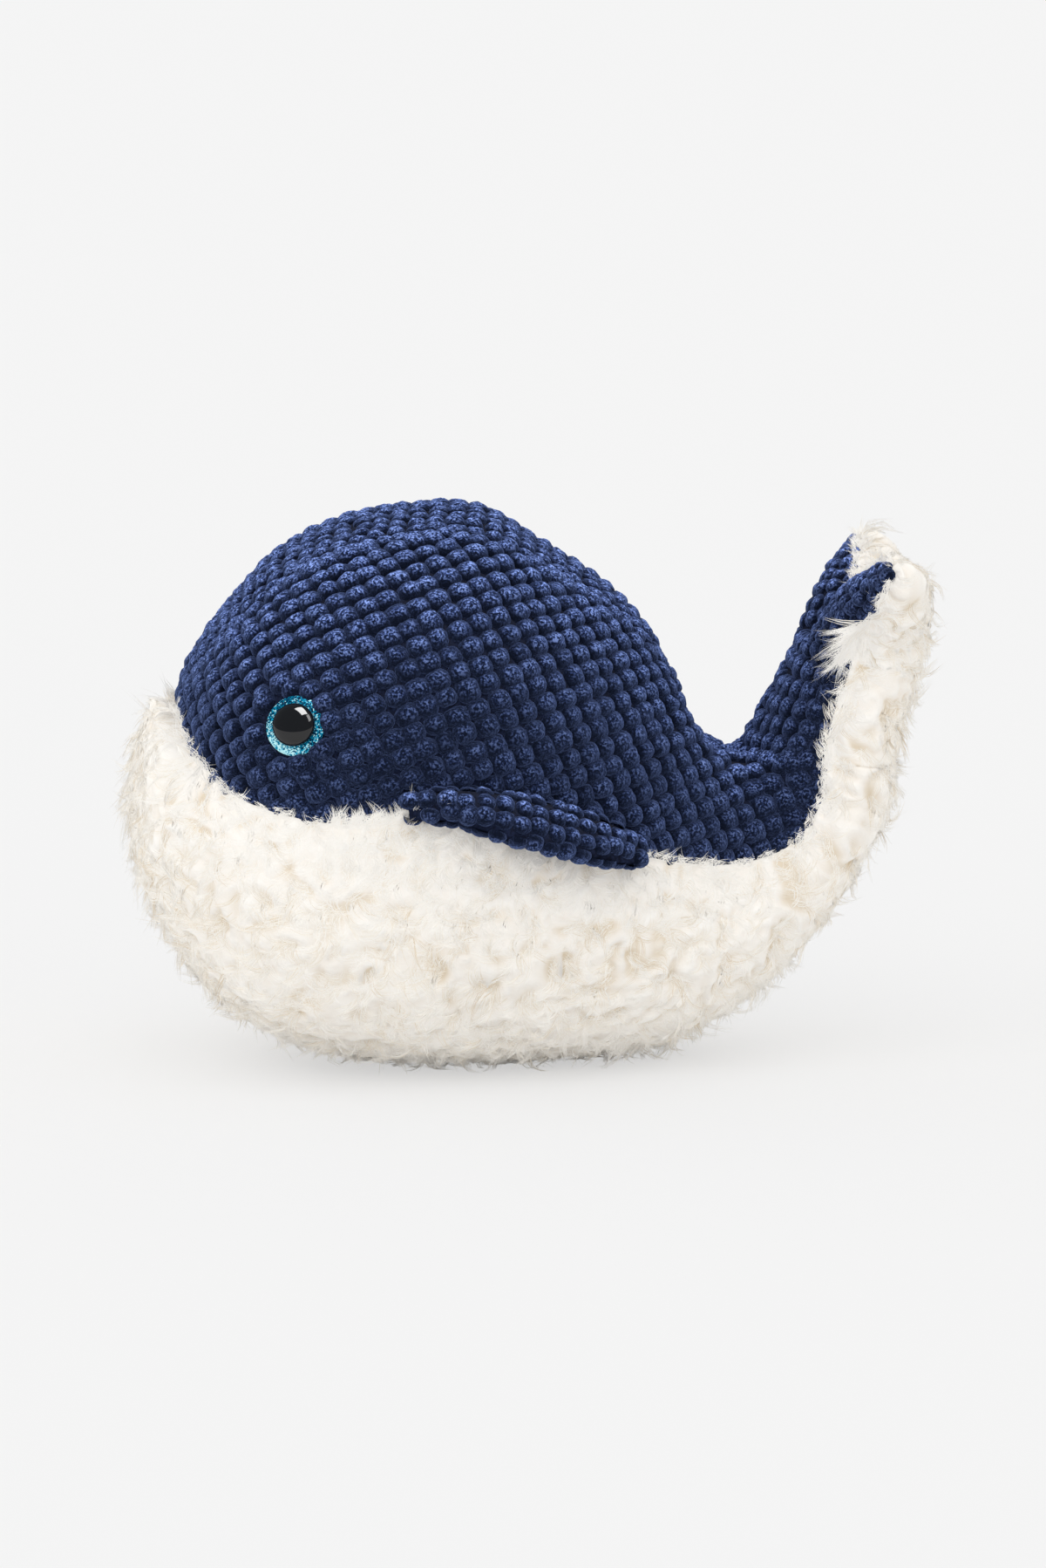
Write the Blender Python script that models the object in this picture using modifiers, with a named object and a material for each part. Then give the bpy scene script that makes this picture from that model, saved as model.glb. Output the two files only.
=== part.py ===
"""Plush whale: a stuffed toy with a bubble plush back, a long pile belly and an upturned tail.

Metres, +Z up. The nose points to -X, the whale's left side faces -Y, and the belly rests on Z = 0.
Every soft form is a loft of sections. A section is a centre with three arms: one to the seam, one to
the upper (or outer) surface and one to the lower (or inner) surface. Its arms span the stuffed core,
and each cover lies on the outside of that core.
"""

import math

import bmesh
import bpy
import numpy as np
from mathutils import Matrix, Vector

# Driving dimensions of the stuffed core
toy_length = 0.400
crown_height = 0.270
core_width = 0.220
fluke_span = 0.126
fluke_parting = 0.010
fin_chord = 0.022
fin_padding = 0.008
fin_standoff = 0.0140
fin_rise = 0.006

# Cloth thicknesses and clearances
bubble_plush = 0.005
plush_at_seam = 0.0016
fin_plush = 0.0035
pile = 0.018
fluke_pile = 0.013
pile_at_seam = 0.004
backing = 0.0012
clearance = 0.0003
seam_gap = 0.0012
root_gap = 0.0009

# Eyes
iris_diameter = 0.0284
iris_thickness = 0.0020
iris_chamfer = 0.0004
pupil_diameter = 0.0204
pupil_height = 0.0064
pupil_rim = 0.0010
shank_diameter = 0.0050
shank_length = 0.0130
washer_diameter = 0.0160
washer_thickness = 0.0016
washer_setback = 0.0016

# Belly press and cuts
belly_press = 0.0005
cut_overrun = 0.020
merge_distance = 0.00001

# How far the stuffed cloth lets each joint swing back, with the margin left in its fold, in degrees
tail_back_swing = 6.0
fluke_back_swing = 5.0
swing_margin = 1.0

# Each row is one station from the nose to the tail root, in shares of the length, half width and
# height: ridge x and z, seam x, half width and z, keel x and z. The keel's z counts from the lowest
# point of the core.
body_shares = [
    (-0.412, 0.630, -0.412, 0.127, 0.630, -0.412, 0.565),
    (-0.400, 0.690, -0.404, 0.382, 0.596, -0.428, 0.491),
    (-0.380, 0.744, -0.388, 0.618, 0.559, -0.436, 0.383),
    (-0.348, 0.808, -0.353, 0.836, 0.522, -0.418, 0.261),
    (-0.303, 0.885, -0.290, 0.955, 0.496, -0.355, 0.113),
    (-0.237, 0.944, -0.225, 1.000, 0.489, -0.260, 0.028),
    (-0.150, 0.975, -0.140, 0.991, 0.507, -0.150, 0.000),
    (-0.060, 0.974, -0.050, 0.936, 0.504, -0.037, -0.004),
    (0.015, 0.910, 0.035, 0.836, 0.463, 0.062, 0.000),
    (0.088, 0.839, 0.115, 0.700, 0.404, 0.155, 0.022),
    (0.135, 0.767, 0.190, 0.545, 0.376, 0.230, 0.076),
    (0.159, 0.693, 0.247, 0.445, 0.372, 0.292, 0.157),
    (0.170, 0.622, 0.297, 0.391, 0.393, 0.343, 0.250),
    (0.190, 0.570, 0.330, 0.364, 0.441, 0.378, 0.335),
    (0.221, 0.537, 0.344, 0.350, 0.496, 0.398, 0.402),
    (0.256, 0.535, 0.345, 0.345, 0.544, 0.407, 0.465),
]

# The tail above its root, in the same shares
tail_shares = [
    (0.286, 0.605, 0.357, 0.327, 0.628, 0.420, 0.568),
    (0.310, 0.667, 0.371, 0.318, 0.681, 0.434, 0.620),
    (0.335, 0.731, 0.380, 0.314, 0.730, 0.443, 0.661),
]

# Each row is one station of a fluke above its root, in shares of the half span, length and height:
# leading edge y and z, trailing edge y and z, seam x, front x and z, back x and z.
fluke_shares = [
    (0.683, 0.789, 0.150, 0.802, 0.390, 0.356, 0.798, 0.448, 0.793),
    (0.825, 0.826, 0.302, 0.843, 0.400, 0.376, 0.841, 0.443, 0.835),
    (0.937, 0.859, 0.603, 0.875, 0.409, 0.398, 0.871, 0.431, 0.866),
    (1.000, 0.884, 0.850, 0.894, 0.414, 0.414, 0.889, 0.414, 0.889),
]

# Each row is one station of a fin: place along it, chord, padding, standoff, tilt and rise.
fin_shares = [
    (0.00, 0.40, 0.45, 0.57, 0.25, 0.60),
    (0.16, 0.58, 0.85, 0.80, 0.70, 0.50),
    (0.40, 0.94, 1.00, 1.00, 1.00, -0.40),
    (0.66, 1.00, 0.95, 1.00, 1.00, -0.50),
    (0.87, 0.76, 0.70, 0.88, 0.90, -0.12),
    (1.00, 0.36, 0.16, 0.78, 0.80, 0.10),
]

# Places along the body, counted in stations, and angles round a section, in degrees from the seam
body_places = [0, 0.35, 0.7, 1, 1.5, 2, 2.5, 3, 3.5, 4, 4.5, 5, 6, 7, 8, 9, 10, 11, 12, 13, 14, 15]
tail_places = [0, 0.5, 1, 1.5, 2, 2.5, 3]
fluke_places = [0, 0.5, 1, 1.5, 2, 2.5, 3, 3.35, 3.7, 4]
fin_places = [0, 0.5, 1, 1.5, 2, 2.5, 3, 3.5, 4, 4.4, 4.75, 5]
fin_root_station = 5.72
fin_tip_station = 8.86
fin_tilt = 38.0
eye_station = 4.06
eye_angle = 21.7
crown_angle = 67.0
side_steps = 6
crown_steps = 4
belly_steps = 14
tail_steps = 8
limb_steps = 6
turned_steps = 24

# Roundness of a section: 2 is an ellipse, more is boxier
upper_roundness = 2.15
lower_roundness = 2.6
limb_roundness = 2.0

# Shares of the way over which a cover swells from its edge to its full thickness
back_swell_share = 0.20
belly_swell_share = 0.42
limb_swell_share = 0.45
end_swell = 1.0

# The most of its first step that the border of a cover is drawn in
draw_in_share = 0.6

# The side of the block that cuts the belly flat, in toy lengths
resting_block_share = 2.0

# Principled colour, roughness and metallic value
navy = ("navy_bubble_plush", (0.022, 0.045, 0.160), 0.95, 0.0)
cream = ("cream_long_pile", (0.820, 0.780, 0.700), 0.95, 0.0)
fibre = ("stuffing_fibre", (0.850, 0.850, 0.840), 0.95, 0.0)
glitter = ("glitter_iris", (0.020, 0.400, 0.600), 0.30, 0.6)
black = ("pupil_black", (0.004, 0.004, 0.005), 0.06, 0.0)
white = ("washer_plastic", (0.750, 0.750, 0.730), 0.45, 0.0)


def clear_scene():
    """Remove every object of the scene."""
    for item in list(bpy.data.objects):
        bpy.data.objects.remove(item, do_unlink=True)


def collection(name):
    """A new collection in the scene."""
    made = bpy.data.collections.new(name)
    bpy.context.scene.collection.children.link(made)
    return made


def material(look):
    """The material of a look, made once."""
    name, colour, roughness, metallic = look
    made = bpy.data.materials.get(name)
    if made is None:
        made = bpy.data.materials.new(name)
        made.use_nodes = True
        made.diffuse_color = (*colour, 1)
        shader = made.node_tree.nodes["Principled BSDF"]
        shader.inputs["Base Color"].default_value = (*colour, 1)
        shader.inputs["Roughness"].default_value = roughness
        shader.inputs["Metallic"].default_value = metallic
    return made


def smooth_step(share):
    """A smooth rise from 0 to 1, for one number or an array."""
    share = np.clip(share, 0, 1)
    return share * share * (3 - 2 * share)


def turned_about(point, pivot, degrees):
    """A point turned about the line through pivot along Y, rising where it lies behind the pivot."""
    turn = Matrix.Rotation(-math.radians(degrees), 3, "Y")
    return np.array(Vector(pivot) + turn @ (Vector(point) - Vector(pivot)))


def section(centre, seam_arm, upper_point, lower_point):
    """A section as four rows: its centre and its three arms."""
    centre = np.array(centre)
    return np.array((centre, seam_arm, upper_point - centre, lower_point - centre))


def trunk_section(row):
    """A section of the body or tail from one row of shares."""
    ridge_x, ridge_z, seam_x, half_width, seam_z, keel_x, keel_z = row
    ridge = np.array((ridge_x * toy_length, 0, ridge_z * crown_height))
    keel_height = pile - belly_press + keel_z * crown_height
    keel = np.array((keel_x * toy_length, 0, keel_height))
    seam_arm = (0, -half_width * core_width / 2, 0)
    return section((seam_x * toy_length, 0, seam_z * crown_height), seam_arm, ridge, keel)


def fluke_section(row, side):
    """A section of a fluke on one side, -1 for left and 1 for right, from one row of shares."""
    lead_y, lead_z, trail_y, trail_z, seam_x, front_x, front_z, back_x, back_z = row
    half_span = side * fluke_span / 2
    lead = np.array((seam_x * toy_length, lead_y * half_span, lead_z * crown_height))
    trail = np.array((seam_x * toy_length, trail_y * half_span, trail_z * crown_height))
    centre = (lead + trail) / 2
    front = np.array((front_x * toy_length, centre[1], front_z * crown_height))
    back = np.array((back_x * toy_length, centre[1], back_z * crown_height))
    return section(centre, (lead - trail) / 2, front, back)


def between(stations, place):
    """The section at a place along the stations, on a smooth curve through all of them."""
    stations = np.array(stations)
    first = 2 * stations[0] - stations[1]
    last = 2 * stations[-1] - stations[-2]
    padded = np.concatenate(([first], stations, [last]))
    start = min(int(place), len(stations) - 2)
    t = place - start
    a, b, c, d = padded[start : start + 4]
    return b + t * (c - a + t * (2 * a - 5 * b + 4 * c - d + t * (3 * (b - c) + d - a))) / 2


def rim_point(cut, angle, roundness):
    """The point of a section at an angle in degrees: 0 is one seam, 90 the ridge, 180 the other seam."""
    centre, seam_arm, upper, lower = cut
    across = math.cos(math.radians(angle))
    along = math.sin(math.radians(angle))
    power = 2 / roundness
    arm = upper if along >= 0 else lower
    side_share = math.copysign(abs(across) ** power, across)
    return centre + side_share * seam_arm + abs(along) ** power * arm


def spread(first, last, steps):
    """Angles from first to last in even steps."""
    return [first + (last - first) * step / steps for step in range(steps + 1)]


def upper_angles():
    """The angles that the crown and both side panels share."""
    left = spread(0, crown_angle, side_steps)
    crown = spread(crown_angle, 180 - crown_angle, crown_steps)
    right = spread(180 - crown_angle, 180, side_steps)
    return left, crown, right


def facet_pair(mesh, first, second, third, fourth):
    """Two triangles over a patch. A core and its cover split every patch the same way."""
    mesh.faces.new((first, second, third))
    mesh.faces.new((first, third, fourth))


def grid_mesh(name, points):
    """A mesh over a grid of points, facing away from the grid's middle."""
    mesh = bmesh.new()
    rows = [[mesh.verts.new(point) for point in row] for row in points]
    for lower, upper in zip(rows, rows[1:]):
        for index in range(len(lower) - 1):
            facet_pair(mesh, lower[index], lower[index + 1], upper[index + 1], upper[index])
    mesh.normal_update()
    mesh.faces.ensure_lookup_table()
    middle = Vector(np.mean([points[len(points) // 2][0], points[len(points) // 2][-1]], axis=0))
    patch = (len(rows) // 2) * (len(rows[0]) - 1) + (len(rows[0]) - 1) // 2
    crest = mesh.faces[2 * patch]
    if crest.normal.dot(crest.calc_center_median() - middle) < 0:
        bmesh.ops.reverse_faces(mesh, faces=mesh.faces)
    data = bpy.data.meshes.new(name)
    mesh.to_mesh(data)
    mesh.free()
    return data


def finish(name, data, look, target):
    """An object for a mesh, shaded smooth, with its material, in its collection."""
    data.shade_smooth()
    data.set_sharp_from_angle(angle=math.radians(50))
    data.materials.append(material(look))
    made = bpy.data.objects.new(name, data)
    target.objects.link(made)
    return made


def drawn_in(edge, inner, gap):
    """Border points moved towards their inner neighbours by half a gap, short of them."""
    step = inner - edge
    reach = np.linalg.norm(step, axis=1, keepdims=True)
    return edge + step * np.minimum(gap / 2 / reach, draw_in_share)


def parted(points):
    """The grid with its border drawn in, so that neighbours don't touch."""
    points = np.array(points, dtype=float)
    points[0] = drawn_in(points[0], points[1], root_gap)
    points[-1] = drawn_in(points[-1], points[-2], root_gap)
    points[:, 0] = drawn_in(points[:, 0], points[:, 1], seam_gap)
    points[:, -1] = drawn_in(points[:, -1], points[:, -2], seam_gap)
    return points


def cover(name, cuts, angles, roundness, thickness, swells, look, target):
    """A cloth panel over part of a core: an open sheet, thickened outwards.

    swells holds, for each point of the sheet, the share of the full thickness there.
    """
    points = parted([[rim_point(cut, angle, roundness) for angle in angles] for cut in cuts])
    made = finish(name, grid_mesh(name, points), look, target)
    group = made.vertex_groups.new(name="thickness")
    for index, share in enumerate(np.array(swells).ravel()):
        group.add([index], float(share), "REPLACE")
    shell = made.modifiers.new("thickness", "SOLIDIFY")
    shell.thickness = thickness
    shell.offset = 1
    shell.vertex_group = group.name
    return made


def stuffing(name, cuts, angles, upper, lower, target):
    """The fibre core inside the covers: a closed loft with a fan at each end."""
    mesh = bmesh.new()
    rings = []
    for cut in cuts:
        ring = [rim_point(cut, angle, upper if 0 <= angle <= 180 else lower) for angle in angles]
        rings.append([mesh.verts.new(point) for point in ring])
    for lower_ring, upper_ring in zip(rings, rings[1:]):
        for index in range(len(angles)):
            after = (index + 1) % len(angles)
            near, far = lower_ring[index], lower_ring[after]
            facet_pair(mesh, near, far, upper_ring[after], upper_ring[index])
    for ring, cut in ((rings[0], cuts[0]), (rings[-1], cuts[-1])):
        hub = mesh.verts.new(cut[0])
        for index in range(len(ring)):
            mesh.faces.new((ring[index], ring[(index + 1) % len(ring)], hub))
    bmesh.ops.recalc_face_normals(mesh, faces=mesh.faces)
    data = bpy.data.meshes.new(name)
    mesh.to_mesh(data)
    mesh.free()
    made = finish(name, data, fibre, target)
    inset = made.modifiers.new("clearance", "DISPLACE")
    inset.direction = "NORMAL"
    inset.mid_level = 0
    inset.strength = -clearance
    return made


def turned(name, profile, look, target):
    """A turned piece about its own Z axis, from a profile of (radius, height) points."""
    data = bpy.data.meshes.new(name)
    edges = [(index, index + 1) for index in range(len(profile) - 1)]
    if profile[0][0] > 0:
        edges.append((len(profile) - 1, 0))
    data.from_pydata([(radius, 0, height) for radius, height in profile], edges, [])
    made = bpy.data.objects.new(name, data)
    target.objects.link(made)
    data.materials.append(material(look))
    screw = made.modifiers.new("turn", "SCREW")
    screw.axis = "Z"
    screw.steps = turned_steps
    screw.render_steps = turned_steps
    screw.use_merge_vertices = True
    screw.merge_threshold = merge_distance
    return made


def cutter(name, made, target):
    """Keep an object as a cutter only."""
    made.name = name
    made.hide_render = True
    made.display_type = "WIRE"
    for other in list(made.users_collection):
        other.objects.unlink(made)
    target.objects.link(made)
    return made


def cylinder_cutter(name, radius, low, high, parent, target):
    """A cylinder cutter along its parent's Z axis, from low to high."""
    mesh = bmesh.new()
    depth = high - low
    place = Matrix.Translation((0, 0, (low + high) / 2))
    bmesh.ops.create_cone(
        mesh, cap_ends=True, segments=turned_steps, radius1=radius, radius2=radius, depth=depth,
        matrix=place,
    )
    data = bpy.data.meshes.new(name)
    mesh.to_mesh(data)
    mesh.free()
    made = bpy.data.objects.new(name, data)
    target.objects.link(made)
    made.parent = parent
    return cutter(name, made, target)


def cut_away(piece, tool):
    """Cut the tool's shape out of a piece."""
    cut = piece.modifiers.new(tool.name, "BOOLEAN")
    cut.operation = "DIFFERENCE"
    cut.solver = "EXACT"
    cut.object = tool


def end_share(place, places, at_start, at_end, least):
    """The share of its thickness that a cover keeps near the ends of a form."""
    share = 1.0
    if at_start:
        share = min(share, least + (1 - least) * smooth_step((place - places[0]) / end_swell))
    if at_end:
        share = min(share, least + (1 - least) * smooth_step((places[-1] - place) / end_swell))
    return share


def swell(places, angles, edge_share, side_share, at_start, at_end, least):
    """Shares of the thickness over a cover: thinner along its seams, and least at the ends named."""
    shares = []
    for place in places:
        along = end_share(place, places, at_start, at_end, least)
        across = [abs(math.sin(math.radians(angle))) / side_share for angle in angles]
        row = [edge_share + (1 - edge_share) * smooth_step(share) for share in across]
        shares.append([min(along, share) for share in row])
    return shares


def back_panels(cuts, target):
    """The crown gusset and the two side panels of bubble plush."""
    thin = backing / bubble_plush
    edge = plush_at_seam / bubble_plush
    names = ("back_left_panel", "crown_gusset", "back_right_panel")
    for name, angles in zip(names, upper_angles()):
        shares = swell(body_places, angles, edge, back_swell_share, True, True, thin)
        cover(name, cuts, angles, upper_roundness, bubble_plush, shares, navy, target)


def belly_panel(cuts, target, cutters):
    """The long pile belly, pressed flat where it rests."""
    angles = spread(-180, 0, belly_steps)
    edge = pile_at_seam / pile
    shares = swell(body_places, angles, edge, belly_swell_share, True, True, edge)
    made = cover("belly_fur_panel", cuts, angles, lower_roundness, pile, shares, cream, target)
    size = resting_block_share * toy_length
    mesh = bmesh.new()
    bmesh.ops.create_cube(mesh, size=size)
    data = bpy.data.meshes.new("resting_plane")
    mesh.to_mesh(data)
    mesh.free()
    plane = bpy.data.objects.new("resting_plane", data)
    plane.location = (0, 0, -size / 2)
    cutters.objects.link(plane)
    cut_away(made, cutter("resting_plane", plane, cutters))
    return made


def limb(prefix, parts, stations, places, steps, back, front_thickness, back_thickness, target):
    """Front cover, back cover and stuffing of a tail, fluke or fin.

    The front is bubble plush. The back is a look of its own.
    """
    front_name, back_name = parts
    cuts = [between(stations, place) for place in places]
    front = spread(0, 180, steps)
    rear = spread(-180, 0, steps)
    thin = backing / front_thickness
    shares = swell(places, front, thin, limb_swell_share, True, True, thin)
    cover(prefix + front_name, cuts, front, limb_roundness, front_thickness, shares, navy, target)
    thin = backing / back_thickness
    shares = swell(places, rear, thin, limb_swell_share, True, True, thin)
    cover(prefix + back_name, cuts, rear, limb_roundness, back_thickness, shares, back, target)
    ring = front + rear[1:-1]
    ends_in_edge = np.allclose(cuts[-1][2], 0, atol=merge_distance)
    core = cuts[:-1] if ends_in_edge else cuts
    stuffing(prefix + "stuffing", core, ring, limb_roundness, limb_roundness, target)


def surface_frame(stations, place, angle):
    """A matrix at a point of the body's core: Z points out of the cloth and X along the body."""
    step = 0.01
    here = Vector(rim_point(between(stations, place), angle, upper_roundness))
    along = Vector(rim_point(between(stations, place + step), angle, upper_roundness)) - here
    round_way = Vector(rim_point(between(stations, place), angle + step, upper_roundness)) - here
    outward = round_way.cross(along).normalized()
    if outward.y > 0:
        outward.negate()
    along = (along - along.dot(outward) * outward).normalized()
    turn = Matrix((along, outward.cross(along), outward)).transposed()
    return Matrix.Translation(here) @ turn.to_4x4()


def eye(side, stations, panel, core, target, cutters):
    """One safety eye: glitter iris, domed pupil on its shank, and the washer behind the cloth."""
    seat = surface_frame(stations, eye_station, eye_angle)
    if side == "right":
        flip = Matrix.Diagonal((1, -1, 1, 1))
        seat = flip @ seat @ flip
    holder = bpy.data.objects.new("eye_%s_axis" % side, None)
    target.objects.link(holder)
    holder.matrix_world = seat
    iris_low = backing + clearance
    iris_high = iris_low + iris_thickness
    bore = shank_diameter / 2 + clearance
    rim = iris_diameter / 2
    iris_profile = [
        (bore, iris_high),
        (rim - iris_chamfer, iris_high),
        (rim, iris_high - iris_chamfer),
        (rim, iris_low),
        (bore, iris_low),
    ]
    iris = turned("eye_%s_iris" % side, iris_profile, glitter, target)
    pupil_low = iris_high + clearance
    dome = pupil_height - pupil_rim
    arc = [math.radians(angle) for angle in spread(90, 0, limb_steps)]
    pupil_profile = [(0, pupil_low + pupil_height)]
    for angle in arc[1:]:
        height = pupil_low + pupil_rim + dome * math.sin(angle)
        pupil_profile.append((pupil_diameter / 2 * math.cos(angle), height))
    pupil_profile += [
        (pupil_diameter / 2, pupil_low),
        (shank_diameter / 2, pupil_low),
        (shank_diameter / 2, pupil_low - shank_length),
        (0, pupil_low - shank_length),
    ]
    pupil = turned("eye_%s_pupil" % side, pupil_profile, black, target)
    washer_high = -washer_setback
    washer_low = washer_high - washer_thickness
    washer_profile = [
        (bore, washer_high),
        (washer_diameter / 2, washer_high),
        (washer_diameter / 2, washer_low),
        (bore, washer_low),
    ]
    washer = turned("eye_%s_washer" % side, washer_profile, white, target)
    for piece in (iris, pupil, washer):
        piece.parent = holder
    names = ["%s_%s" % (part, side) for part in ("iris_seat", "shank_bore", "washer_pocket")]
    seat_cut = cylinder_cutter(names[0], rim + clearance, backing, cut_overrun, holder, cutters)
    bore_cut = cylinder_cutter(names[1], bore, -cut_overrun, cut_overrun, holder, cutters)
    pocket_low = pupil_low - shank_length - clearance
    pocket_radius = washer_diameter / 2 + clearance
    pocket = cylinder_cutter(names[2], pocket_radius, pocket_low, cut_overrun, holder, cutters)
    cut_away(panel, seat_cut)
    cut_away(panel, bore_cut)
    cut_away(core, pocket)


def fin_stations(stations, side):
    """The sections of a fin, laid along the side seam of the body."""
    cuts = []
    step = 0.01
    for place_share, chord_share, padding_share, standoff_share, tilt_share, rise_share in fin_shares:
        tilt = math.radians(fin_tilt * tilt_share)
        place = fin_root_station + place_share * (fin_tip_station - fin_root_station)
        here = Vector(rim_point(between(stations, place), 0, upper_roundness))
        ahead = Vector(rim_point(between(stations, place + step), 0, upper_roundness))
        along = (ahead - here).normalized()
        outward = along.cross(Vector((0, 0, 1))).normalized()
        upward = outward.cross(along).normalized()
        chord = -math.cos(tilt) * upward + math.sin(tilt) * outward
        across = math.cos(tilt) * outward + math.sin(tilt) * upward
        mirror = Vector((1, -side, 1))
        centre = here + standoff_share * fin_standoff * outward + rise_share * fin_rise * upward
        chord = chord * mirror * (chord_share * fin_chord / 2)
        padding = np.array(across * mirror * (padding_share * fin_padding / 2))
        centre = np.array(centre * mirror)
        cuts.append(section(centre, np.array(chord), centre + padding, centre - padding))
    return cuts


def fold_point(cut):
    """The point that the next limb folds about: on the outside of the cloth at the ridge."""
    centre, _, ridge, _ = cut
    return centre + ridge * (1 + backing / np.linalg.norm(ridge))


def opened(cut, degrees):
    """A section turned up about its fold point, so that the limb rooted there can swing back."""
    centre, seam_arm, ridge, keel = cut
    pivot = fold_point(cut)
    spine = (centre, centre + ridge, centre + keel)
    middle, upper, lower = [turned_about(point, pivot, degrees) for point in spine]
    return section(middle, seam_arm, upper, lower)


def raised(cut, height):
    """A section moved up."""
    centre, seam_arm, ridge, keel = cut
    return np.array((centre + np.array((0, 0, height)), seam_arm, ridge, keel))


def fluke_stations(top, side):
    """The sections of a fluke, from its root on the tail's top section to its tip."""
    centre, seam_arm, front, back = opened(top, fluke_back_swing + swing_margin)
    lead = abs(seam_arm[1])
    trail = fluke_parting / 2
    middle = np.array((0, side * (lead + trail) / 2, 0))
    seam_reach = np.array((0, side * (lead - trail) / 2, 0))
    root = np.array((centre + middle, seam_reach, front, back))
    return [root] + [fluke_section(row, side) for row in fluke_shares]


def tail_stations(seat):
    """The sections of the tail, from its root in the crease to the roots of its flukes."""
    root = opened(seat, tail_back_swing + swing_margin)
    return [root] + [trunk_section(row) for row in tail_shares]


def hang_on(name, pivot, prefix, target):
    """Hang the pieces of a limb on an empty at the joint they turn about."""
    holder = bpy.data.objects.new(name, None)
    holder.location = pivot
    target.objects.link(holder)
    for piece in target.objects:
        if piece.type == "MESH" and piece.name.startswith(prefix):
            piece.parent = holder
            piece.matrix_parent_inverse = Matrix.Translation(pivot).inverted()
    return holder


def build():
    """Model the whale."""
    clear_scene()
    target = collection("plush_whale")
    cutters = collection("cutters")
    body = [trunk_section(row) for row in body_shares]
    cuts = [between(body, place) for place in body_places]
    back_panels(cuts, target)
    belly_panel(cuts, target, cutters)
    left, crown, right = upper_angles()
    ring = left + crown[1:] + right[1:] + spread(-180, 0, belly_steps)[1:-1]
    core = stuffing("body_stuffing", cuts[2:], ring, upper_roundness, lower_roundness, target)
    seat = raised(body[-1], backing + clearance)
    tail = tail_stations(seat)
    parts = ("front_panel", "fur_panel")
    limb("tail_", parts, tail, tail_places, tail_steps, cream, bubble_plush, pile, target)
    hang_on("tail_bend_axis", fold_point(seat), "tail_", target)
    for side, sign in (("left", -1), ("right", 1)):
        panel = bpy.data.objects["back_%s_panel" % side]
        eye(side, body, panel, core, target, cutters)
        fluke = fluke_stations(tail[-1], sign)
        prefix = "fluke_%s_" % side
        limb(prefix, parts, fluke, fluke_places, limb_steps, cream, bubble_plush, fluke_pile, target)
        beside = np.array((0, fluke[0][0][1], 0))
        hang_on(prefix + "fold_axis", fold_point(tail[-1]) + beside, prefix, target)
        fin = fin_stations(body, sign)
        names = ("outer_panel", "inner_panel")
        prefix = "fin_%s_" % side
        limb(prefix, names, fin, fin_places, limb_steps, navy, fin_plush, fin_plush, target)
        hang_on(prefix + "swing_axis", fin[0][0], prefix, target)


build()
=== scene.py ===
"""Plush whale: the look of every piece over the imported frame.

The forms are the same lofts as in the part's source, finer, and the cloth on them is modelled: bubble
plush as rounded lumps in rows, and long pile as locks of fine strands over a matted mass.
"""

import copy
import math
from functools import partial

import bmesh
import bpy
import numpy as np
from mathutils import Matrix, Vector
from mathutils.bvhtree import BVHTree
from mathutils.geometry import barycentric_transform
from mathutils.kdtree import KDTree


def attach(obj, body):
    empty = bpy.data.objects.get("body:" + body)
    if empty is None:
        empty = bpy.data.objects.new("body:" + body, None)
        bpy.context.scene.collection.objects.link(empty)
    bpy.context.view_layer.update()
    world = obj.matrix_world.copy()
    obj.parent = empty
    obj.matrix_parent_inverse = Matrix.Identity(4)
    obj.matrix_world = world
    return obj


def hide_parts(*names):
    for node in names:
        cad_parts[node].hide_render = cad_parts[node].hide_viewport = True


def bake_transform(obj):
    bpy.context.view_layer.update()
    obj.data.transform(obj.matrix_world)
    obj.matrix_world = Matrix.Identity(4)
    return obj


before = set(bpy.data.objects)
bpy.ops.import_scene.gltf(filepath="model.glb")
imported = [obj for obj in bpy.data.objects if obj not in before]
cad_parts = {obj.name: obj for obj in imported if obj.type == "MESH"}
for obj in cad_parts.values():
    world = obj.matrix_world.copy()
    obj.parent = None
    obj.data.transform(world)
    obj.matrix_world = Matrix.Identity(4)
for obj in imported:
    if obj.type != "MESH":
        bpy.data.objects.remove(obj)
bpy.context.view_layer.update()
rng = np.random.default_rng(7)

# Driving dimensions of the stuffed core, as in the part's source
toy_length = 0.400
crown_height = 0.270
core_width = 0.220
fluke_span = 0.126
fluke_parting = 0.010
fin_chord = 0.022
fin_padding = 0.008
fin_standoff = 0.0140
fin_rise = 0.006
pile = 0.018
belly_press = 0.0005
backing = 0.0012
clearance = 0.0003

# Eyes: the iris falls off towards its edge by the second number of each (radius, fall) pair
iris_diameter = 0.0284
iris_thickness = 0.0020
iris_bore = 0.0028
iris_edge = 0.0015
iris_slope = [
    (0.0060, 0), (0.0096, 0), (0.0108, 0.0002), (0.0120, 0.0005), (0.0131, 0.0009), (0.0138, 0.0012)
]
# Painted light: the way towards which the iris's flakes are brighter
iris_painted_light_way = (-0.55, 0, -0.85)
pupil_diameter = 0.0204
pupil_height = 0.0064
pupil_rim = 0.0010
pupil_edge = 0.0003
shank_radius = 0.0025
shank_length = 0.013
axis_radius = 0.00002
eye_sides = 96
eye_station = 4.06
eye_angle = 21.7

# Bubbles are pushed out of a circle round each eye, and left out inside a share of it. Its centre stands
# off the eye's own, so that they cover the iris towards the tail.
eye_clear = 0.0184
eye_cover = 0.0024
eye_left_out = 0.66

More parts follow.
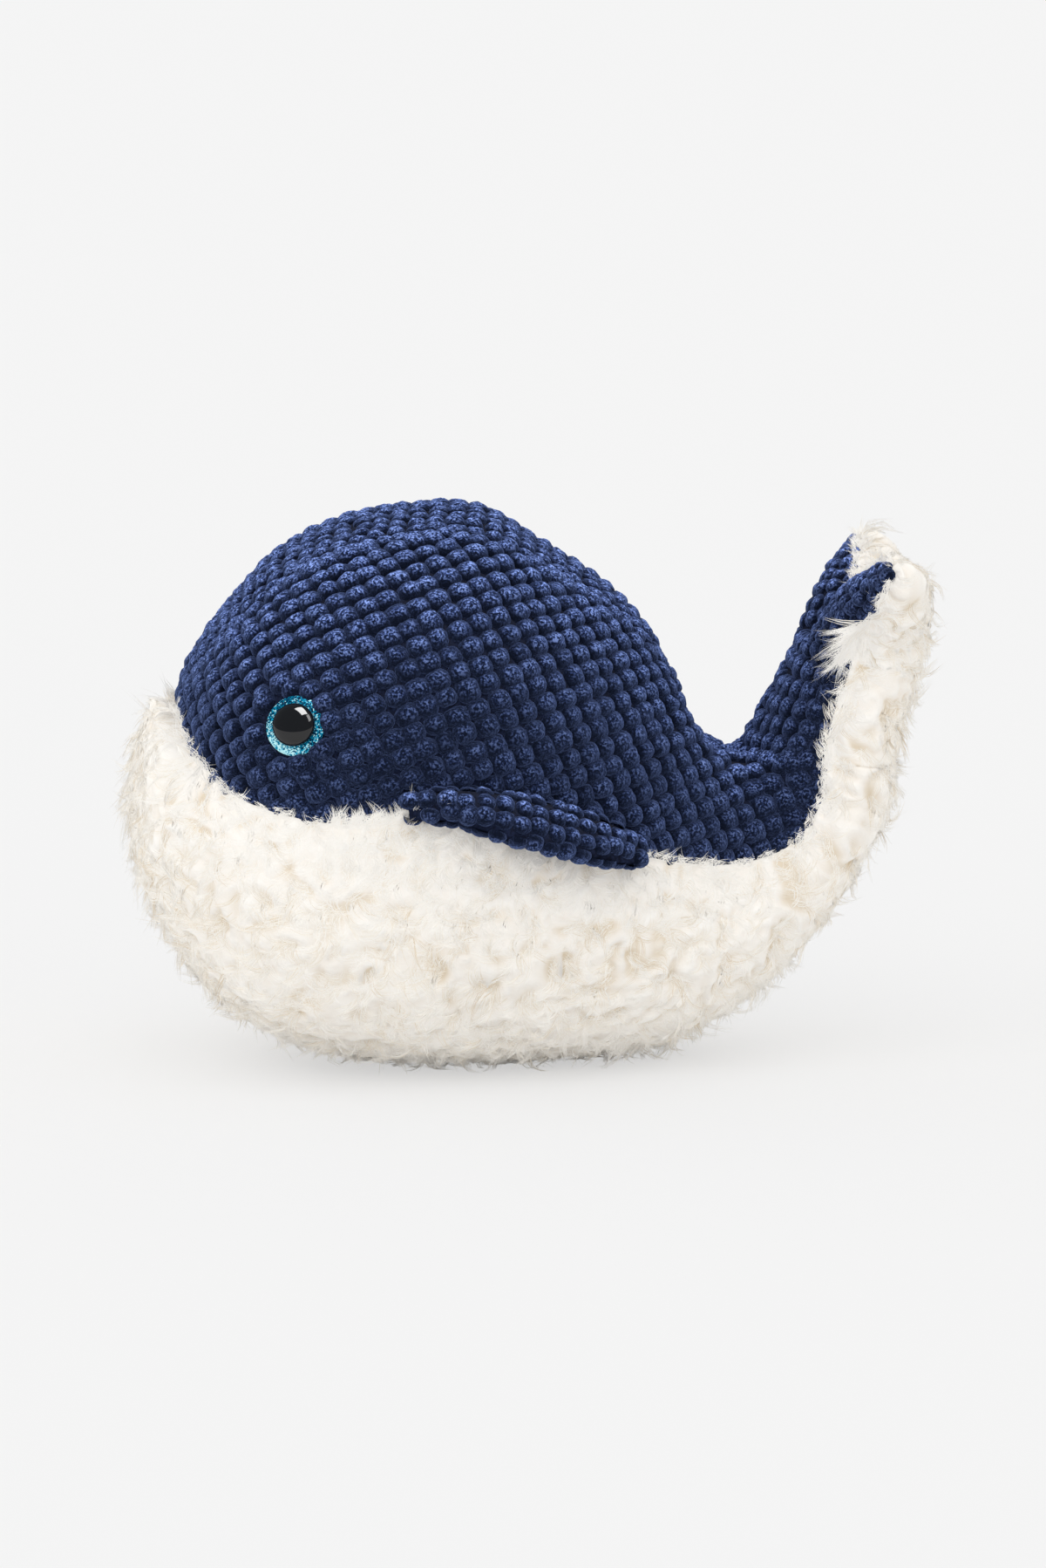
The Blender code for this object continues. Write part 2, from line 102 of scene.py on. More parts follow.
# Shares of the body's stations, from the nose to the tail root: ridge x and z, seam x, half width and z,
# keel x and z. The keel's z counts from the lowest point of the core.
body_shares = [
    (-0.412, 0.630, -0.412, 0.127, 0.630, -0.412, 0.565),
    (-0.400, 0.690, -0.404, 0.382, 0.596, -0.428, 0.491),
    (-0.380, 0.744, -0.388, 0.618, 0.559, -0.436, 0.383),
    (-0.348, 0.808, -0.353, 0.836, 0.522, -0.418, 0.261),
    (-0.303, 0.885, -0.290, 0.955, 0.496, -0.355, 0.113),
    (-0.237, 0.944, -0.225, 1.000, 0.489, -0.260, 0.028),
    (-0.150, 0.975, -0.140, 0.991, 0.507, -0.150, 0.000),
    (-0.060, 0.974, -0.050, 0.936, 0.504, -0.037, -0.004),
    (0.015, 0.910, 0.035, 0.836, 0.463, 0.062, 0.000),
    (0.088, 0.839, 0.115, 0.700, 0.404, 0.155, 0.022),
    (0.135, 0.767, 0.190, 0.545, 0.376, 0.230, 0.076),
    (0.159, 0.693, 0.247, 0.445, 0.372, 0.292, 0.157),
    (0.170, 0.622, 0.297, 0.391, 0.393, 0.343, 0.250),
    (0.190, 0.570, 0.330, 0.364, 0.441, 0.378, 0.335),
    (0.221, 0.537, 0.344, 0.350, 0.496, 0.398, 0.402),
    (0.256, 0.535, 0.345, 0.345, 0.544, 0.407, 0.465),
]

# The tail above its root, in the same shares
tail_shares = [
    (0.286, 0.605, 0.357, 0.327, 0.628, 0.420, 0.568),
    (0.310, 0.667, 0.371, 0.318, 0.681, 0.434, 0.620),
    (0.335, 0.731, 0.380, 0.314, 0.730, 0.443, 0.661),
]

# Shares of a fluke's stations above its root: leading edge y and z, trailing edge y and z, seam x,
# front x and z, back x and z
fluke_shares = [
    (0.683, 0.789, 0.150, 0.802, 0.390, 0.356, 0.798, 0.448, 0.793),
    (0.825, 0.826, 0.302, 0.843, 0.400, 0.376, 0.841, 0.443, 0.835),
    (0.937, 0.859, 0.603, 0.875, 0.409, 0.398, 0.871, 0.431, 0.866),
    (1.000, 0.884, 0.850, 0.894, 0.414, 0.414, 0.889, 0.414, 0.889),
]

# Shares of a fin's stations: place along it, chord, padding, standoff, tilt and rise
fin_shares = [
    (0.00, 0.40, 0.45, 0.57, 0.25, 0.60),
    (0.16, 0.58, 0.85, 0.80, 0.70, 0.50),
    (0.40, 0.94, 1.00, 1.00, 1.00, -0.40),
    (0.66, 1.00, 0.95, 1.00, 1.00, -0.50),
    (0.87, 0.76, 0.70, 0.88, 0.90, -0.12),
    (1.00, 0.36, 0.16, 0.78, 0.80, 0.10),
]

fin_root_station = 5.72
fin_tip_station = 8.86
fin_tilt = 38.0
crown_angle = 67.0
upper_roundness = 2.15
lower_roundness = 2.6
limb_roundness = 2.0
station_step = 0.01
row_step = 0.1

# Where the limbs bend: each zone's lower and upper end
tail_bend = ((0.1156, 0, 0.1460), (0.1156, 0, 0.1820))
fluke_bend = ((0.1326, 0, 0.1976), (0.1326, 0, 0.2226))

# Bubble plush: spacing of the bubbles along and between their rows, half sizes, and their curls
bubble_pitch = 0.0107
bubble_row = 0.0093
bubble_skew = 0.0010
bubble_length = 0.0064
bubble_width = 0.0057
bubble_height = 0.0047
bubble_lift = 0.0004
bubble_squareness = 2.3
bubble_jitter = 0.0004
bubble_turn = 0.07
bubble_variety = 0.06
bubble_lump = 0.0045
bubble_lump_depth = 0.0006
bubble_curl = 0.0015
bubble_curl_depth = 0.00034
bubble_rings = 10
bubble_sides = 28
bubble_reach = 104.0
pit_depth = 0.0014
edge_reach = 0.60
dome_gap = 0.0004
side_row_tilt = 15.5
side_centre = (6.2, 26.0)

# The bubbles push each other apart: the pitch they keep, how far each push reaches, its strength and rounds
even_pitch = 0.90
even_reach = 1.12
even_push = 0.14
even_rounds = 4

# How light a bubble is, in painted light and shade: lighter where the cloth faces up, each bubble its own
# tone at random, and its sides darker as they turn down
up_light_start = 0.15
up_light_width = 0.75
up_light_gain = 0.70
bubble_tone_range = (0.27, 0.35)
side_range = (-0.90, 0.14)
bubble_shade = 0.95

# The scale of the bubbles on each strip, against those on the sides of the back
crown_scale = 0.84
tail_scale = 0.92
fluke_scale = 0.74
fin_scale = 0.80

# How far the bubbles stop inside their cloth: in stations at its ends, and in degrees at its sides
back_margins = (0.2, 0.8)
crown_margins = (0.3, 1.5)
root_margin = 0.05
tail_side_margin = 2
fluke_margins = (0.06, 5)
fin_margin = 0.08

# The faces of a fin: their half of its rim, the angles that their bubbles cover, and the shift of the rows
fin_faces = {"outer": ((0, 180), (-42, 205), 0.5), "inner": ((-180, 0), (-118, -62), 0)}

# The matted mass of the long pile, in soft tufts
mass_depth = 0.0125
mass_at_seam = 0.0042
mass_relief = 0.0036
mass_lump = 0.0080
warp_size = 0.016
warp_depth = 0.006
warp_step = 0.1
tail_mass_depth = 0.008
fluke_mass_depth = 0.007
fluke_mass_at_seam = 0.0025

# The locks on the mass: how they swirl, curl and stray
lock_pitch = 0.0042
lock_length = 0.0130
lock_width = 0.0024
lock_turn = 3.4
lock_stations = 5
lock_strands = 10
lock_rise = 0.0012
lock_tone = (0.1, 1.0)
stray_share = 0.16
stray_lift = 0.0060
stray_lean = 0.8
free_calm = 0.3
lean_length = 0.12
lean_most = 0.8
swirl_size = 0.024
swirl_spread = 0.30
seam_pitch = 0.0019
seam_rise = 0.0028
seam_length = 0.5
seam_ways = (-0.8, 1.0)
seam_spread = 0.20

# Tufts of extra locks: along the seam before the fins, and at the outer side of each fluke's base
tuft_locks = 3
fin_tuft_places = (4.7, 6.2)
fin_tuft_columns = (0, 5, 10, -1, -6, -11)
fin_tuft_shift = 0.0008
fin_tuft_way = (0.45, 0, 1.0)
fin_tuft_length = 0.85
fin_tuft_rise = 0.0030
fluke_tuft_rows = 22
fluke_tuft_way = (-0.75, 0, -0.65)
fluke_tuft_lengths = {"left": 1.5, "right": 0.8}
fluke_tuft_rise = 0.0040

# Where the locks are paler: near the side seams, and near the floor as painted light against the shade there
pale_seam = 0.45
pale_seam_width = 0.45
painted_light_low = 0.32
pale_height = 0.075

# The strands of a lock, and how they take the light
strand_radius = 0.00016
strand_points = 6
strand_sides = 3
strand_lift = 0.0008
strand_wave = 0.0004
strand_bob = 0.0003
loose_share = 0.15
loose_reach = 0.0020
held_reach = 0.0003
glow_up = 0.80
own_shading = 1.70
floor_clear = 0.0006

# The strands' places in a baked picture, across it by their tint and up it by their shade
bake_margin = 0.02
bake_run = 0.96
bake_width = 0.006

# Camera, from the photograph: its scale, its distance and the point it looks at
photo_height = 1798
photo_scale = 0.000418
camera_distance = 4.00
camera_azimuth = -5.0
camera_elevation = 9.0
aim = Vector((-0.0021, 0, 0.1316))
sensor = 36.0

# Light: the brightness that the camera sees, what the floor reflects, and the world's own light
backdrop = 0.885
floor_albedo = 0.87
floor_glow = 0.6
floor_size = 40.0
world_light = 0.92
studio_light = 0.28
studio_colour = (0.80, 0.90, 1, 1)
softbox_aim = Vector((-0.12, -0.1, 0.178))


def unit(vectors):
    """Vectors scaled to length 1."""
    return vectors / np.maximum(np.linalg.norm(vectors, axis=-1, keepdims=True), 1e-9)


def laid(vectors, normals):
    """Vectors laid flat against a surface with these normals, at length 1."""
    return unit(vectors - (vectors * normals).sum(axis=1, keepdims=True) * normals)


def spread(first, last, steps):
    """Evenly spaced numbers from the first to the last."""
    return np.linspace(first, last, steps + 1)


def turns_of(sides):
    """Evenly spaced angles once round, in radians."""
    return np.linspace(0, 2 * np.pi, sides, endpoint=False)


def smooth_step(share):
    """A smooth rise from 0 to 1."""
    share = np.clip(share, 0, 1)
    return share * share * (3 - 2 * share)


noise_size = 65536
noise_table = rng.uniform(-1, 1, noise_size)
noise_keys = np.array((73856093, 19349663, 83492791))


def noise(points, size):
    """Smooth noise from -1 to 1 over an array of points, with lumps about one size across."""
    place = points / size
    cell = np.floor(place).astype(np.int64)
    part = smooth_step(place - cell)
    total = np.zeros(points.shape[:-1])
    for corner in range(8):
        step = np.array((corner & 1, corner >> 1 & 1, corner >> 2))
        key = (cell + step) * noise_keys
        value = noise_table[(key[..., 0] ^ key[..., 1] ^ key[..., 2]) & (noise_size - 1)]
        weight = np.where(step, part, 1 - part).prod(axis=-1)
        total += weight * value
    return total


def section(centre, seam_arm, upper_point, lower_point):
    """A section as four rows: its centre and its three arms."""
    centre = np.array(centre)
    return np.array((centre, seam_arm, upper_point - centre, lower_point - centre))


def trunk_section(row):
    """A section of the body or tail from one row of shares."""
    ridge_x, ridge_z, seam_x, half_width, seam_z, keel_x, keel_z = row
    ridge = np.array((ridge_x * toy_length, 0, ridge_z * crown_height))
    keel = np.array((keel_x * toy_length, 0, pile - belly_press + keel_z * crown_height))
    seam_arm = (0, -half_width * core_width / 2, 0)
    return section((seam_x * toy_length, 0, seam_z * crown_height), seam_arm, ridge, keel)


def fluke_sections(top, side):
    """The sections of a fluke, from its half of the tail's top section to its tip."""
    centre, seam_arm, front, back = top
    lead = abs(seam_arm[1])
    trail = fluke_parting / 2
    middle = np.array((0, side * (lead + trail) / 2, 0))
    sections = [np.array((centre + middle, (0, side * (lead - trail) / 2, 0), front, back))]
    half_span = side * fluke_span / 2
    for lead_y, lead_z, trail_y, trail_z, seam_x, front_x, front_z, back_x, back_z in fluke_shares:
        lead = np.array((seam_x * toy_length, lead_y * half_span, lead_z * crown_height))
        trail = np.array((seam_x * toy_length, trail_y * half_span, trail_z * crown_height))
        centre = (lead + trail) / 2
        front = np.array((front_x * toy_length, centre[1], front_z * crown_height))
        back = np.array((back_x * toy_length, centre[1], back_z * crown_height))
        sections.append(section(centre, (lead - trail) / 2, front, back))
    return sections


def between(stations, place):
    """The section at a place along the stations, on a smooth curve through all of them."""
    stations = np.array(stations)
    first = 2 * stations[0] - stations[1]
    last = 2 * stations[-1] - stations[-2]
    padded = np.concatenate(([first], stations, [last]))
    start = min(int(place), len(stations) - 2)
    t = place - start
    a, b, c, d = padded[start : start + 4]
    return b + t * (c - a + t * (2 * a - 5 * b + 4 * c - d + t * (3 * (b - c) + d - a))) / 2


def rim(cut, angles, roundness):
    """The points of a section at angles in degrees: 0 is one seam, 90 the ridge, 180 the other seam."""
    centre, seam_arm, upper, lower = cut
    across = np.cos(np.radians(angles))[:, None]
    along = np.sin(np.radians(angles))[:, None]
    power = 2 / roundness
    arm = np.where(along >= 0, upper, lower)
    return centre + np.sign(across) * abs(across) ** power * seam_arm + abs(along) ** power * arm


def core_point(place, angle):
    """The point of the stuffed core at a place along the trunk and an angle above its left seam."""
    return rim(between(trunk, place), np.array((angle,)), upper_roundness)[0]


def fin_sections(side):
    """The sections of a fin, laid along the side seam of the body."""
    cuts = []
    for place_share, chord_share, padding_share, standoff_share, tilt_share, rise_share in fin_shares:
        tilt = math.radians(fin_tilt * tilt_share)
        place = fin_root_station + place_share * (fin_tip_station - fin_root_station)
        here = Vector(core_point(place, 0.0))
        ahead = Vector(core_point(place + station_step, 0.0))
        along = (ahead - here).normalized()
        outward = along.cross(Vector((0, 0, 1))).normalized()
        upward = outward.cross(along).normalized()
        chord = -math.cos(tilt) * upward + math.sin(tilt) * outward
        across = math.cos(tilt) * outward + math.sin(tilt) * upward
        mirror = Vector((1, -side, 1))
        centre = here + standoff_share * fin_standoff * outward + rise_share * fin_rise * upward
        chord = np.array(chord * mirror) * (chord_share * fin_chord / 2)
        padding = np.array(across * mirror) * (padding_share * fin_padding / 2)
        centre = np.array(centre * mirror)
        cuts.append(section(centre, chord, centre + padding, centre - padding))
    return cuts


class Surface:
    """A fine grid of points over part of a loft, with its directions and a way to find the nearest."""

    def __init__(self, stations, places, angles, steps, roundness):
        cuts = [between(stations, place) for place in spread(*places, steps[0])]
        self.points = np.array([rim(cut, spread(*angles, steps[1]), roundness) for cut in cuts])
        rows, columns = self.points.shape[:2]
        index = np.arange(rows * columns).reshape(rows, columns)
        corners = (index[:-1, :-1], index[:-1, 1:], index[1:, 1:], index[1:, :-1])
        self.faces = np.stack(corners, axis=-1).reshape(-1, 4)
        self.measure()
        centres = np.array([cut[0] for cut in cuts])[:, None]
        if ((self.points - centres) * self.normals).sum() < 0:
            self.normals = -self.normals

    def measure(self):
        """Works out the directions at each point, and what finds the nearest of them."""
        self.along = unit(np.gradient(self.points, axis=0))
        across = unit(np.gradient(self.points, axis=1))
        self.normals = unit(np.cross(self.along, across))
        self.tree = BVHTree.FromPolygons(self.points.reshape(-1, 3).tolist(), self.faces.tolist())

    def nearest(self, points):
        """The nearest places on the surface: points, normals, along and row and column shares."""
        found = [self.tree.find_nearest(point) for point in points]
        spots = np.array([tuple(hit[0]) for hit in found])
        corner = self.faces[[hit[2] for hit in found]][:, 0]
        row, column = np.unravel_index(corner, self.points.shape[:2])
        shares = np.stack((row / (self.points.shape[0] - 1), column / (self.points.shape[1] - 1)), -1)
        return spots, self.normals[row, column], self.along[row, column], shares

    def raised(self, depth):
        """This surface moved outward by a depth at each point of its grid, with its directions."""
        made = copy.copy(self)
        made.points = self.points + self.normals * depth[..., None]
        made.measure()
        made.normals = made.normals * np.sign((made.normals * self.normals).sum(axis=2, keepdims=True))
        return made

    def scattered(self, pitch):
        """Spots spread at random over the surface, about a pitch apart."""
        corners = self.points.reshape(-1, 3)[self.faces]
        crossed = np.cross(corners[:, 2] - corners[:, 0], corners[:, 3] - corners[:, 1])
        areas = np.linalg.norm(crossed, axis=1) / 2
        count = int(areas.sum() / (pitch**2 * 0.87))
        chosen = rng.choice(len(areas), count, p=areas / areas.sum())
        mix = rng.uniform(0, 1, (count, 2, 1))
        top = corners[chosen, 0] * (1 - mix[:, 0]) + corners[chosen, 1] * mix[:, 0]
        low = corners[chosen, 3] * (1 - mix[:, 0]) + corners[chosen, 2] * mix[:, 0]
        return top * (1 - mix[:, 1]) + low * mix[:, 1]


def strip_lattice(surface, scale, offset):
    """Rows of points along a strip, even in its length and its width."""
    points = surface.points
    down = np.linalg.norm(np.diff(points, axis=0), axis=2).mean(axis=1)
    down = np.concatenate(([0], np.cumsum(down)))
    widths = np.linalg.norm(np.diff(points, axis=1), axis=2)
    over = np.concatenate((np.zeros((len(points), 1)), np.cumsum(widths, axis=1)), axis=1)
    over -= over[:, -1:] / 2
    pitch = bubble_pitch * scale
    row_gap = bubble_row * scale
    ranks = int(over.max() / row_gap) + 1
    placed = []
    for rank in range(-ranks, ranks + 1):
        for file in range(int(down[-1] / pitch) + 1):
            ahead = file * pitch + rank * bubble_skew % pitch
            row = min(int(np.searchsorted(down, ahead)), len(down) - 1)
            aside = (rank + offset) * row_gap
            if ahead <= down[-1] and abs(aside) <= over[row, -1]:
                column = min(int(np.searchsorted(over[row], aside)), len(over[row]) - 1)
                placed.append(points[row, column])
    return np.array(placed)


def dome_lattice(surface, centre, ahead, outward, tilt, handed):
    """Rows of points over a dome, laid flat round its centre and put back on it."""
    points = surface.points.reshape(-1, 3)
    sideways = np.cross(outward, ahead)
    off = points - centre
    fall = -(off @ outward)
    reach = np.maximum(np.linalg.norm(off + fall[:, None] * outward, axis=1), 1e-6)
    bend = 2 * np.arctan2(fall, reach)
    straight = abs(bend) < 1e-4
    arc = np.where(straight, 1, bend / np.sin(np.where(straight, 1, bend)))
    flat = np.stack(((off @ ahead) * arc, (off @ sideways) * arc, np.zeros(len(off))), axis=1)
    triangles = np.concatenate((surface.faces[:, (0, 1, 2)], surface.faces[:, (0, 2, 3)]))
    sheet = BVHTree.FromPolygons(flat.tolist(), triangles.tolist())
    cosine = math.cos(math.radians(tilt))
    sine = math.sin(math.radians(tilt))
    ranks = int(abs(flat).max() * 1.5 / bubble_row)
    placed = []
    for rank in range(-ranks, ranks + 1):
        for file in range(-ranks, ranks + 1):
            x = file * bubble_pitch - rank * bubble_skew * handed
            y = rank * bubble_row
            spot = Vector((x * cosine - y * sine, x * sine + y * cosine, 0))
            hit, _, index, gap = sheet.find_nearest(spot)
            if gap < dome_gap:
                here = [Vector(flat[corner]) for corner in triangles[index]]
                there = [Vector(points[corner]) for corner in triangles[index]]
                placed.append(barycentric_transform(hit, *here, *there))
    return np.array(placed)


def carried(direction, start, normals):
    """A direction on a dome carried from where its normal is start to where it is each of the normals."""
    axis = np.cross(start, normals)
    share = 1 / (1 + np.maximum(normals @ start, -0.95))
    once = np.cross(axis, direction)
    return unit(direction + once + np.cross(axis, once) * share[:, None])


def edge_filled(spots, surface, scale):
    """The spots, with more along the surface's edges wherever the rows stop short of them."""
    points = surface.points
    spots = list(spots)
    for edge in np.concatenate((points[:, 0], points[:, -1], points[0], points[-1])):
        if np.linalg.norm(np.array(spots) - edge, axis=1).min() > edge_reach * bubble_pitch * scale:
            spots.append(edge)
    return np.array(spots)


def evened(points, surface, pitch):
    """Points pushed apart over their surface until they are spaced evenly."""
    reach = even_reach * pitch
    for _ in range(even_rounds):
        tree = KDTree(len(points))
        for index, point in enumerate(points):
            tree.insert(point, index)
        tree.balance()
        pushed = points.copy()
        for index, point in enumerate(points):
            for other, neighbour, gap in tree.find_range(point, reach):
                if neighbour != index and gap > 0:
                    pushed[index] += (point - np.array(other)) / gap * (reach - gap) * even_push
        points = surface.nearest(pushed)[0]
    return points


def placed_object(name, data):
    """An object in the scene."""
    made = bpy.data.objects.new(name, data)
    bpy.context.scene.collection.objects.link(made)
    return made


def mesh_from(name, points, faces):
    """A mesh from an array of points and an array of faces with as many corners each."""
    data = bpy.data.meshes.new(name)
    data.vertices.add(len(points))
    data.vertices.foreach_set("co", points.astype(np.float32).ravel())
    data.loops.add(faces.size)
    data.loops.foreach_set("vertex_index", faces.astype(np.int32).ravel())
    data.polygons.add(len(faces))
    data.polygons.foreach_set("loop_start", np.arange(0, faces.size, faces.shape[1], dtype=np.int32))
    data.update(calc_edges=True)
    data.shade_smooth()
    return data


def repeated(faces, count, size):
    """The faces of one form again for each of a count of forms with this many points each."""
    return (faces[None] + np.arange(count)[:, None, None] * size).reshape(-1, 3)


def faced_out(data, fill=False):
    """Turns the faces of a closed form outward, once its open ends are filled where asked."""
    shell = bmesh.new()
    shell.from_mesh(data)
    if fill:
        bmesh.ops.holes_fill(shell, edges=shell.edges)
    bmesh.ops.recalc_face_normals(shell, faces=shell.faces)
    shell.to_mesh(data)
    shell.free()


def piece(name, data, look):
    """An object of the whale with its material."""
    data.materials.append(look)
    return placed_object(name, data)


def attribute(data, name, values):
    """A number for each point of a mesh, which its material reads."""
    made = data.attributes.new(name, "FLOAT", "POINT")
    made.data.foreach_set("value", values.astype(np.float32).ravel())


def carry(pieces, bodies):
    """Pieces ride on one body; given more, they stay put in the world, with their places baked into their
    meshes.
    """
    for made in pieces:
        if len(bodies) == 1:
            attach(made, bodies[0])
        else:
            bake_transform(made)


def skin(name, surface, thickness, look):
    """A closed sheet of cloth over the core, with its outer face at the thickness given for each point."""
    grid = surface.points + surface.normals * thickness[..., None]
    inner = surface.points + surface.normals * clearance
    rows, columns = grid.shape[:2]
    count = rows * columns
    points = np.concatenate((grid.reshape(-1, 3), inner.reshape(-1, 3)))
    points[:, 2] = np.maximum(points[:, 2], floor_clear)
    index = np.arange(count).reshape(rows, columns)
    border = np.concatenate((index[0, :-1], index[:-1, -1], index[-1, :0:-1], index[:0:-1, 0]))
    after = np.roll(border, -1)
    sides = np.stack((border, after, after + count, border + count), -1)
    data = mesh_from(name, points, np.concatenate((surface.faces, surface.faces[:, ::-1] + count, sides)))
    faced_out(data)
    return piece(name, data, look)


def cloth(name, surface, node, bodies):
    """The cloth under the bubbles of a panel, which stands for the panel's node."""
    made = skin(name, surface, np.full(surface.points.shape[:2], pit_depth), plush_backing)
    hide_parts(node)
    carry([made], bodies)


def filling(node, bodies):
    """A limb's filling, from its own solid cut finer, fine enough to bend inside its cloth."""
    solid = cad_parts[node]
    shell = bmesh.new()
    shell.from_mesh(solid.data)
    shell.transform(solid.matrix_world)
    bmesh.ops.subdivide_edges(shell, edges=shell.edges, cuts=3, use_grid_fill=True)
    name = node.replace("stuffing", "filling")
    data = bpy.data.meshes.new(name)
    shell.to_mesh(data)
    shell.free()
    made = piece(name, data, fibre)
    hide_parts(node)
    carry([made], bodies)


def bubble_form():
    """One bubble of unit size: the points of a dome that turns in below, and its faces."""
    turns = turns_of(bubble_sides)
    ring = np.stack((np.cos(turns), np.sin(turns)), -1)
    ring = ring / (abs(ring) ** bubble_squareness).sum(axis=1, keepdims=True) ** (1 / bubble_squareness)
    points = [np.array([[0, 0, 1.0]])]
    for angle in np.radians(spread(0, bubble_reach, bubble_rings))[1:]:
        level = np.full((bubble_sides, 1), np.cos(angle))
        points.append(np.concatenate((ring * np.sin(angle), level), axis=1))
    faces = []
    for side in range(bubble_sides):
        after = (side + 1) % bubble_sides
        faces.append((0, 1 + side, 1 + after))
        for level in range(bubble_rings - 1):
            low = 1 + level * bubble_sides
            high = low + bubble_sides
            faces.append((low + side, high + side, high + after))
            faces.append((low + side, high + after, low + after))
    return np.concatenate(points), np.array(faces)


def bubbles(name, surface, spots, rows=None, parts=1, scale=1.0, keep_clear=()):
    """Bubble plush over a surface: a bubble at each spot, in pieces sorted along the whale."""
    spots = evened(edge_filled(spots, surface, scale), surface, even_pitch * bubble_pitch * scale)
    spots = spots + rng.normal(0, bubble_jitter, spots.shape)
    for centre, radius in keep_clear:
        away = spots - centre
        far = np.linalg.norm(away, axis=1)
        pushed = centre + away / far[:, None] * radius
        spots = np.where((far < radius)[:, None], pushed, spots)[far > eye_left_out * radius]
    spots, normals, along, _ = surface.nearest(spots)
    heading = along if rows is None else rows(normals)
    heading = laid(heading + rng.normal(0, bubble_turn, spots.shape), normals)
    sideways = np.cross(normals, heading)
    form, faces = bubble_form()
    half_sizes = np.array((bubble_length, bubble_width, bubble_height))
    size = rng.normal(1, bubble_variety, (len(spots), 3)) * half_sizes * scale
    arms = (
        form[None, :, 0:1] * (heading * size[:, 0:1])[:, None]
        + form[None, :, 1:2] * (sideways * size[:, 1:2])[:, None]
        + form[None, :, 2:3] * (normals * size[:, 2:3])[:, None]
    )
    points = (spots + normals * bubble_lift * scale)[:, None] + arms
    outward = unit(arms)
    lump = bubble_lump_depth * noise(points, bubble_lump) + bubble_curl_depth * noise(points, bubble_curl)
    points = points + outward * lump[..., None]
    full_height = (bubble_height + bubble_lift) * scale
    # Each point's height on its bubble, which the material turns into painted shade low down, between the
    # bubbles
    height = ((points - spots[:, None]) * normals[:, None]).sum(axis=2) / full_height
    # Painted light and shade: brighter where the cloth faces up, each bubble its own tone at random, darker
    # on its sides as they turn down
    tone_and_painted_light = smooth_step((normals[:, 2] - up_light_start) / up_light_width) * up_light_gain
    tone_and_painted_light = tone_and_painted_light + rng.uniform(*bubble_tone_range, len(spots))
    under = np.clip(outward[..., 2] - normals[:, None, 2], *side_range)
    tone_and_painted_light = tone_and_painted_light[:, None] * (1 + bubble_shade * under)
    order = np.argsort(spots[:, 0], kind="stable")
    made = []
    for number, chosen in enumerate(np.array_split(order, parts), 1):
        label = "%s_%d" % (name, number) if parts > 1 else name
        data = mesh_from(label, points[chosen].reshape(-1, 3), repeated(faces, len(chosen), len(form)))
        attribute(data, "height", np.clip(height[chosen], 0, 1))
        attribute(data, "tint", np.clip(tone_and_painted_light[chosen], 0, 1))
        bit = piece(label, data, plush)
        made.append(bit)
    return made


def strip_bubbles(name, surface, scale, bodies, parts=1, offset=0.0):
    """Bubble plush in rows along a strip."""
    carry(bubbles(name, surface, strip_lattice(surface, scale, offset), None, parts, scale), bodies)


def strand_faces(steps):
    """The faces of one strand: its base, its sides from ring to ring, and its tip."""
    sides = strand_sides
    faces = [(0, corner + 1, corner) for corner in range(1, sides - 1)]
    for level in range(steps - 1):
        low = level * sides
        for corner in range(sides):
            after = (corner + 1) % sides
            faces.append((low + corner, low + after, low + sides + after))
            faces.append((low + corner, low + sides + after, low + sides + corner))
    tip = steps * sides
    for corner in range(sides):
        faces.append((tip - sides + corner, tip - sides + (corner + 1) % sides, tip))
    return np.array(faces)


def hairs(name, paths, facing, shade, tint):
    """Fine strands of pile: they take the light of what they lie on, and cast no shadow of their own."""
    low = paths[..., 2] < floor_clear
    paths[..., 2] = np.where(low, floor_clear + floor_clear * rng.uniform(0, 1, low.shape), paths[..., 2])
    heading = unit(np.gradient(paths, axis=1))
    one = unit(np.cross(heading, np.array((0.31, 0.55, 0.77))))
    other = np.cross(heading, one)
    share = np.linspace(0, 1, strand_points)
    taper = (1 - share**2) ** 0.5 * (1 - 0.35 * share)
    thick = (strand_radius * rng.uniform(0.7, 1.25, (len(paths), 1)) * taper)[..., None]
    turns = turns_of(strand_sides)
    across = np.cos(turns)[:, None] * (one * thick)[..., None, :]
    above = np.sin(turns)[:, None] * (other * thick)[..., None, :]
    rings = (paths[..., None, :] + across + above)[:, :-1]
    count, steps = rings.shape[:2]
    radial = unit(rings - paths[:, :-1, None])
    around = unit(own_shading * radial + facing[:, :-1, None]).reshape(count, -1, 3)
    around = np.concatenate((around, unit(facing[:, -1:] + heading[:, -1:])), axis=1)
    size = steps * strand_sides + 1
    points = np.concatenate((rings.reshape(count, size - 1, 3), paths[:, -1:]), axis=1)
    faces = repeated(strand_faces(steps), count, size)
    data = mesh_from(name, points.reshape(-1, 3), faces)
    data.normals_split_custom_set_from_vertices(around.reshape(-1, 3).tolist())
    tint = np.clip(tint, 0, 1)
    tone = np.concatenate((np.repeat(shade[:, :-1], strand_sides, axis=1), shade[:, -1:]), axis=1)
    attribute(data, "shade", tone)
    attribute(data, "tint", np.repeat(tint, size))
    spot = np.append(np.tile(bake_width * np.sin(turns), steps), 0.0)
    across = bake_margin + bake_run * tint[:, None] + spot
    places = np.stack((across, bake_margin + bake_run * tone), axis=-1).reshape(-1, 2)[faces.ravel()]
    data.uv_layers.new(name="OFBake").data.foreach_set("uv", places.astype(np.float32).ravel())
    bit = piece(name, data, fur)
    bit.visible_shadow = False
    bit.visible_diffuse = False
    return bit


def off_seam(shares, width):
    """A rise from 0 at a surface's two side edges to 1 inside a width."""
    return smooth_step(abs(np.sin(np.pi * shares[:, 1])) / width)


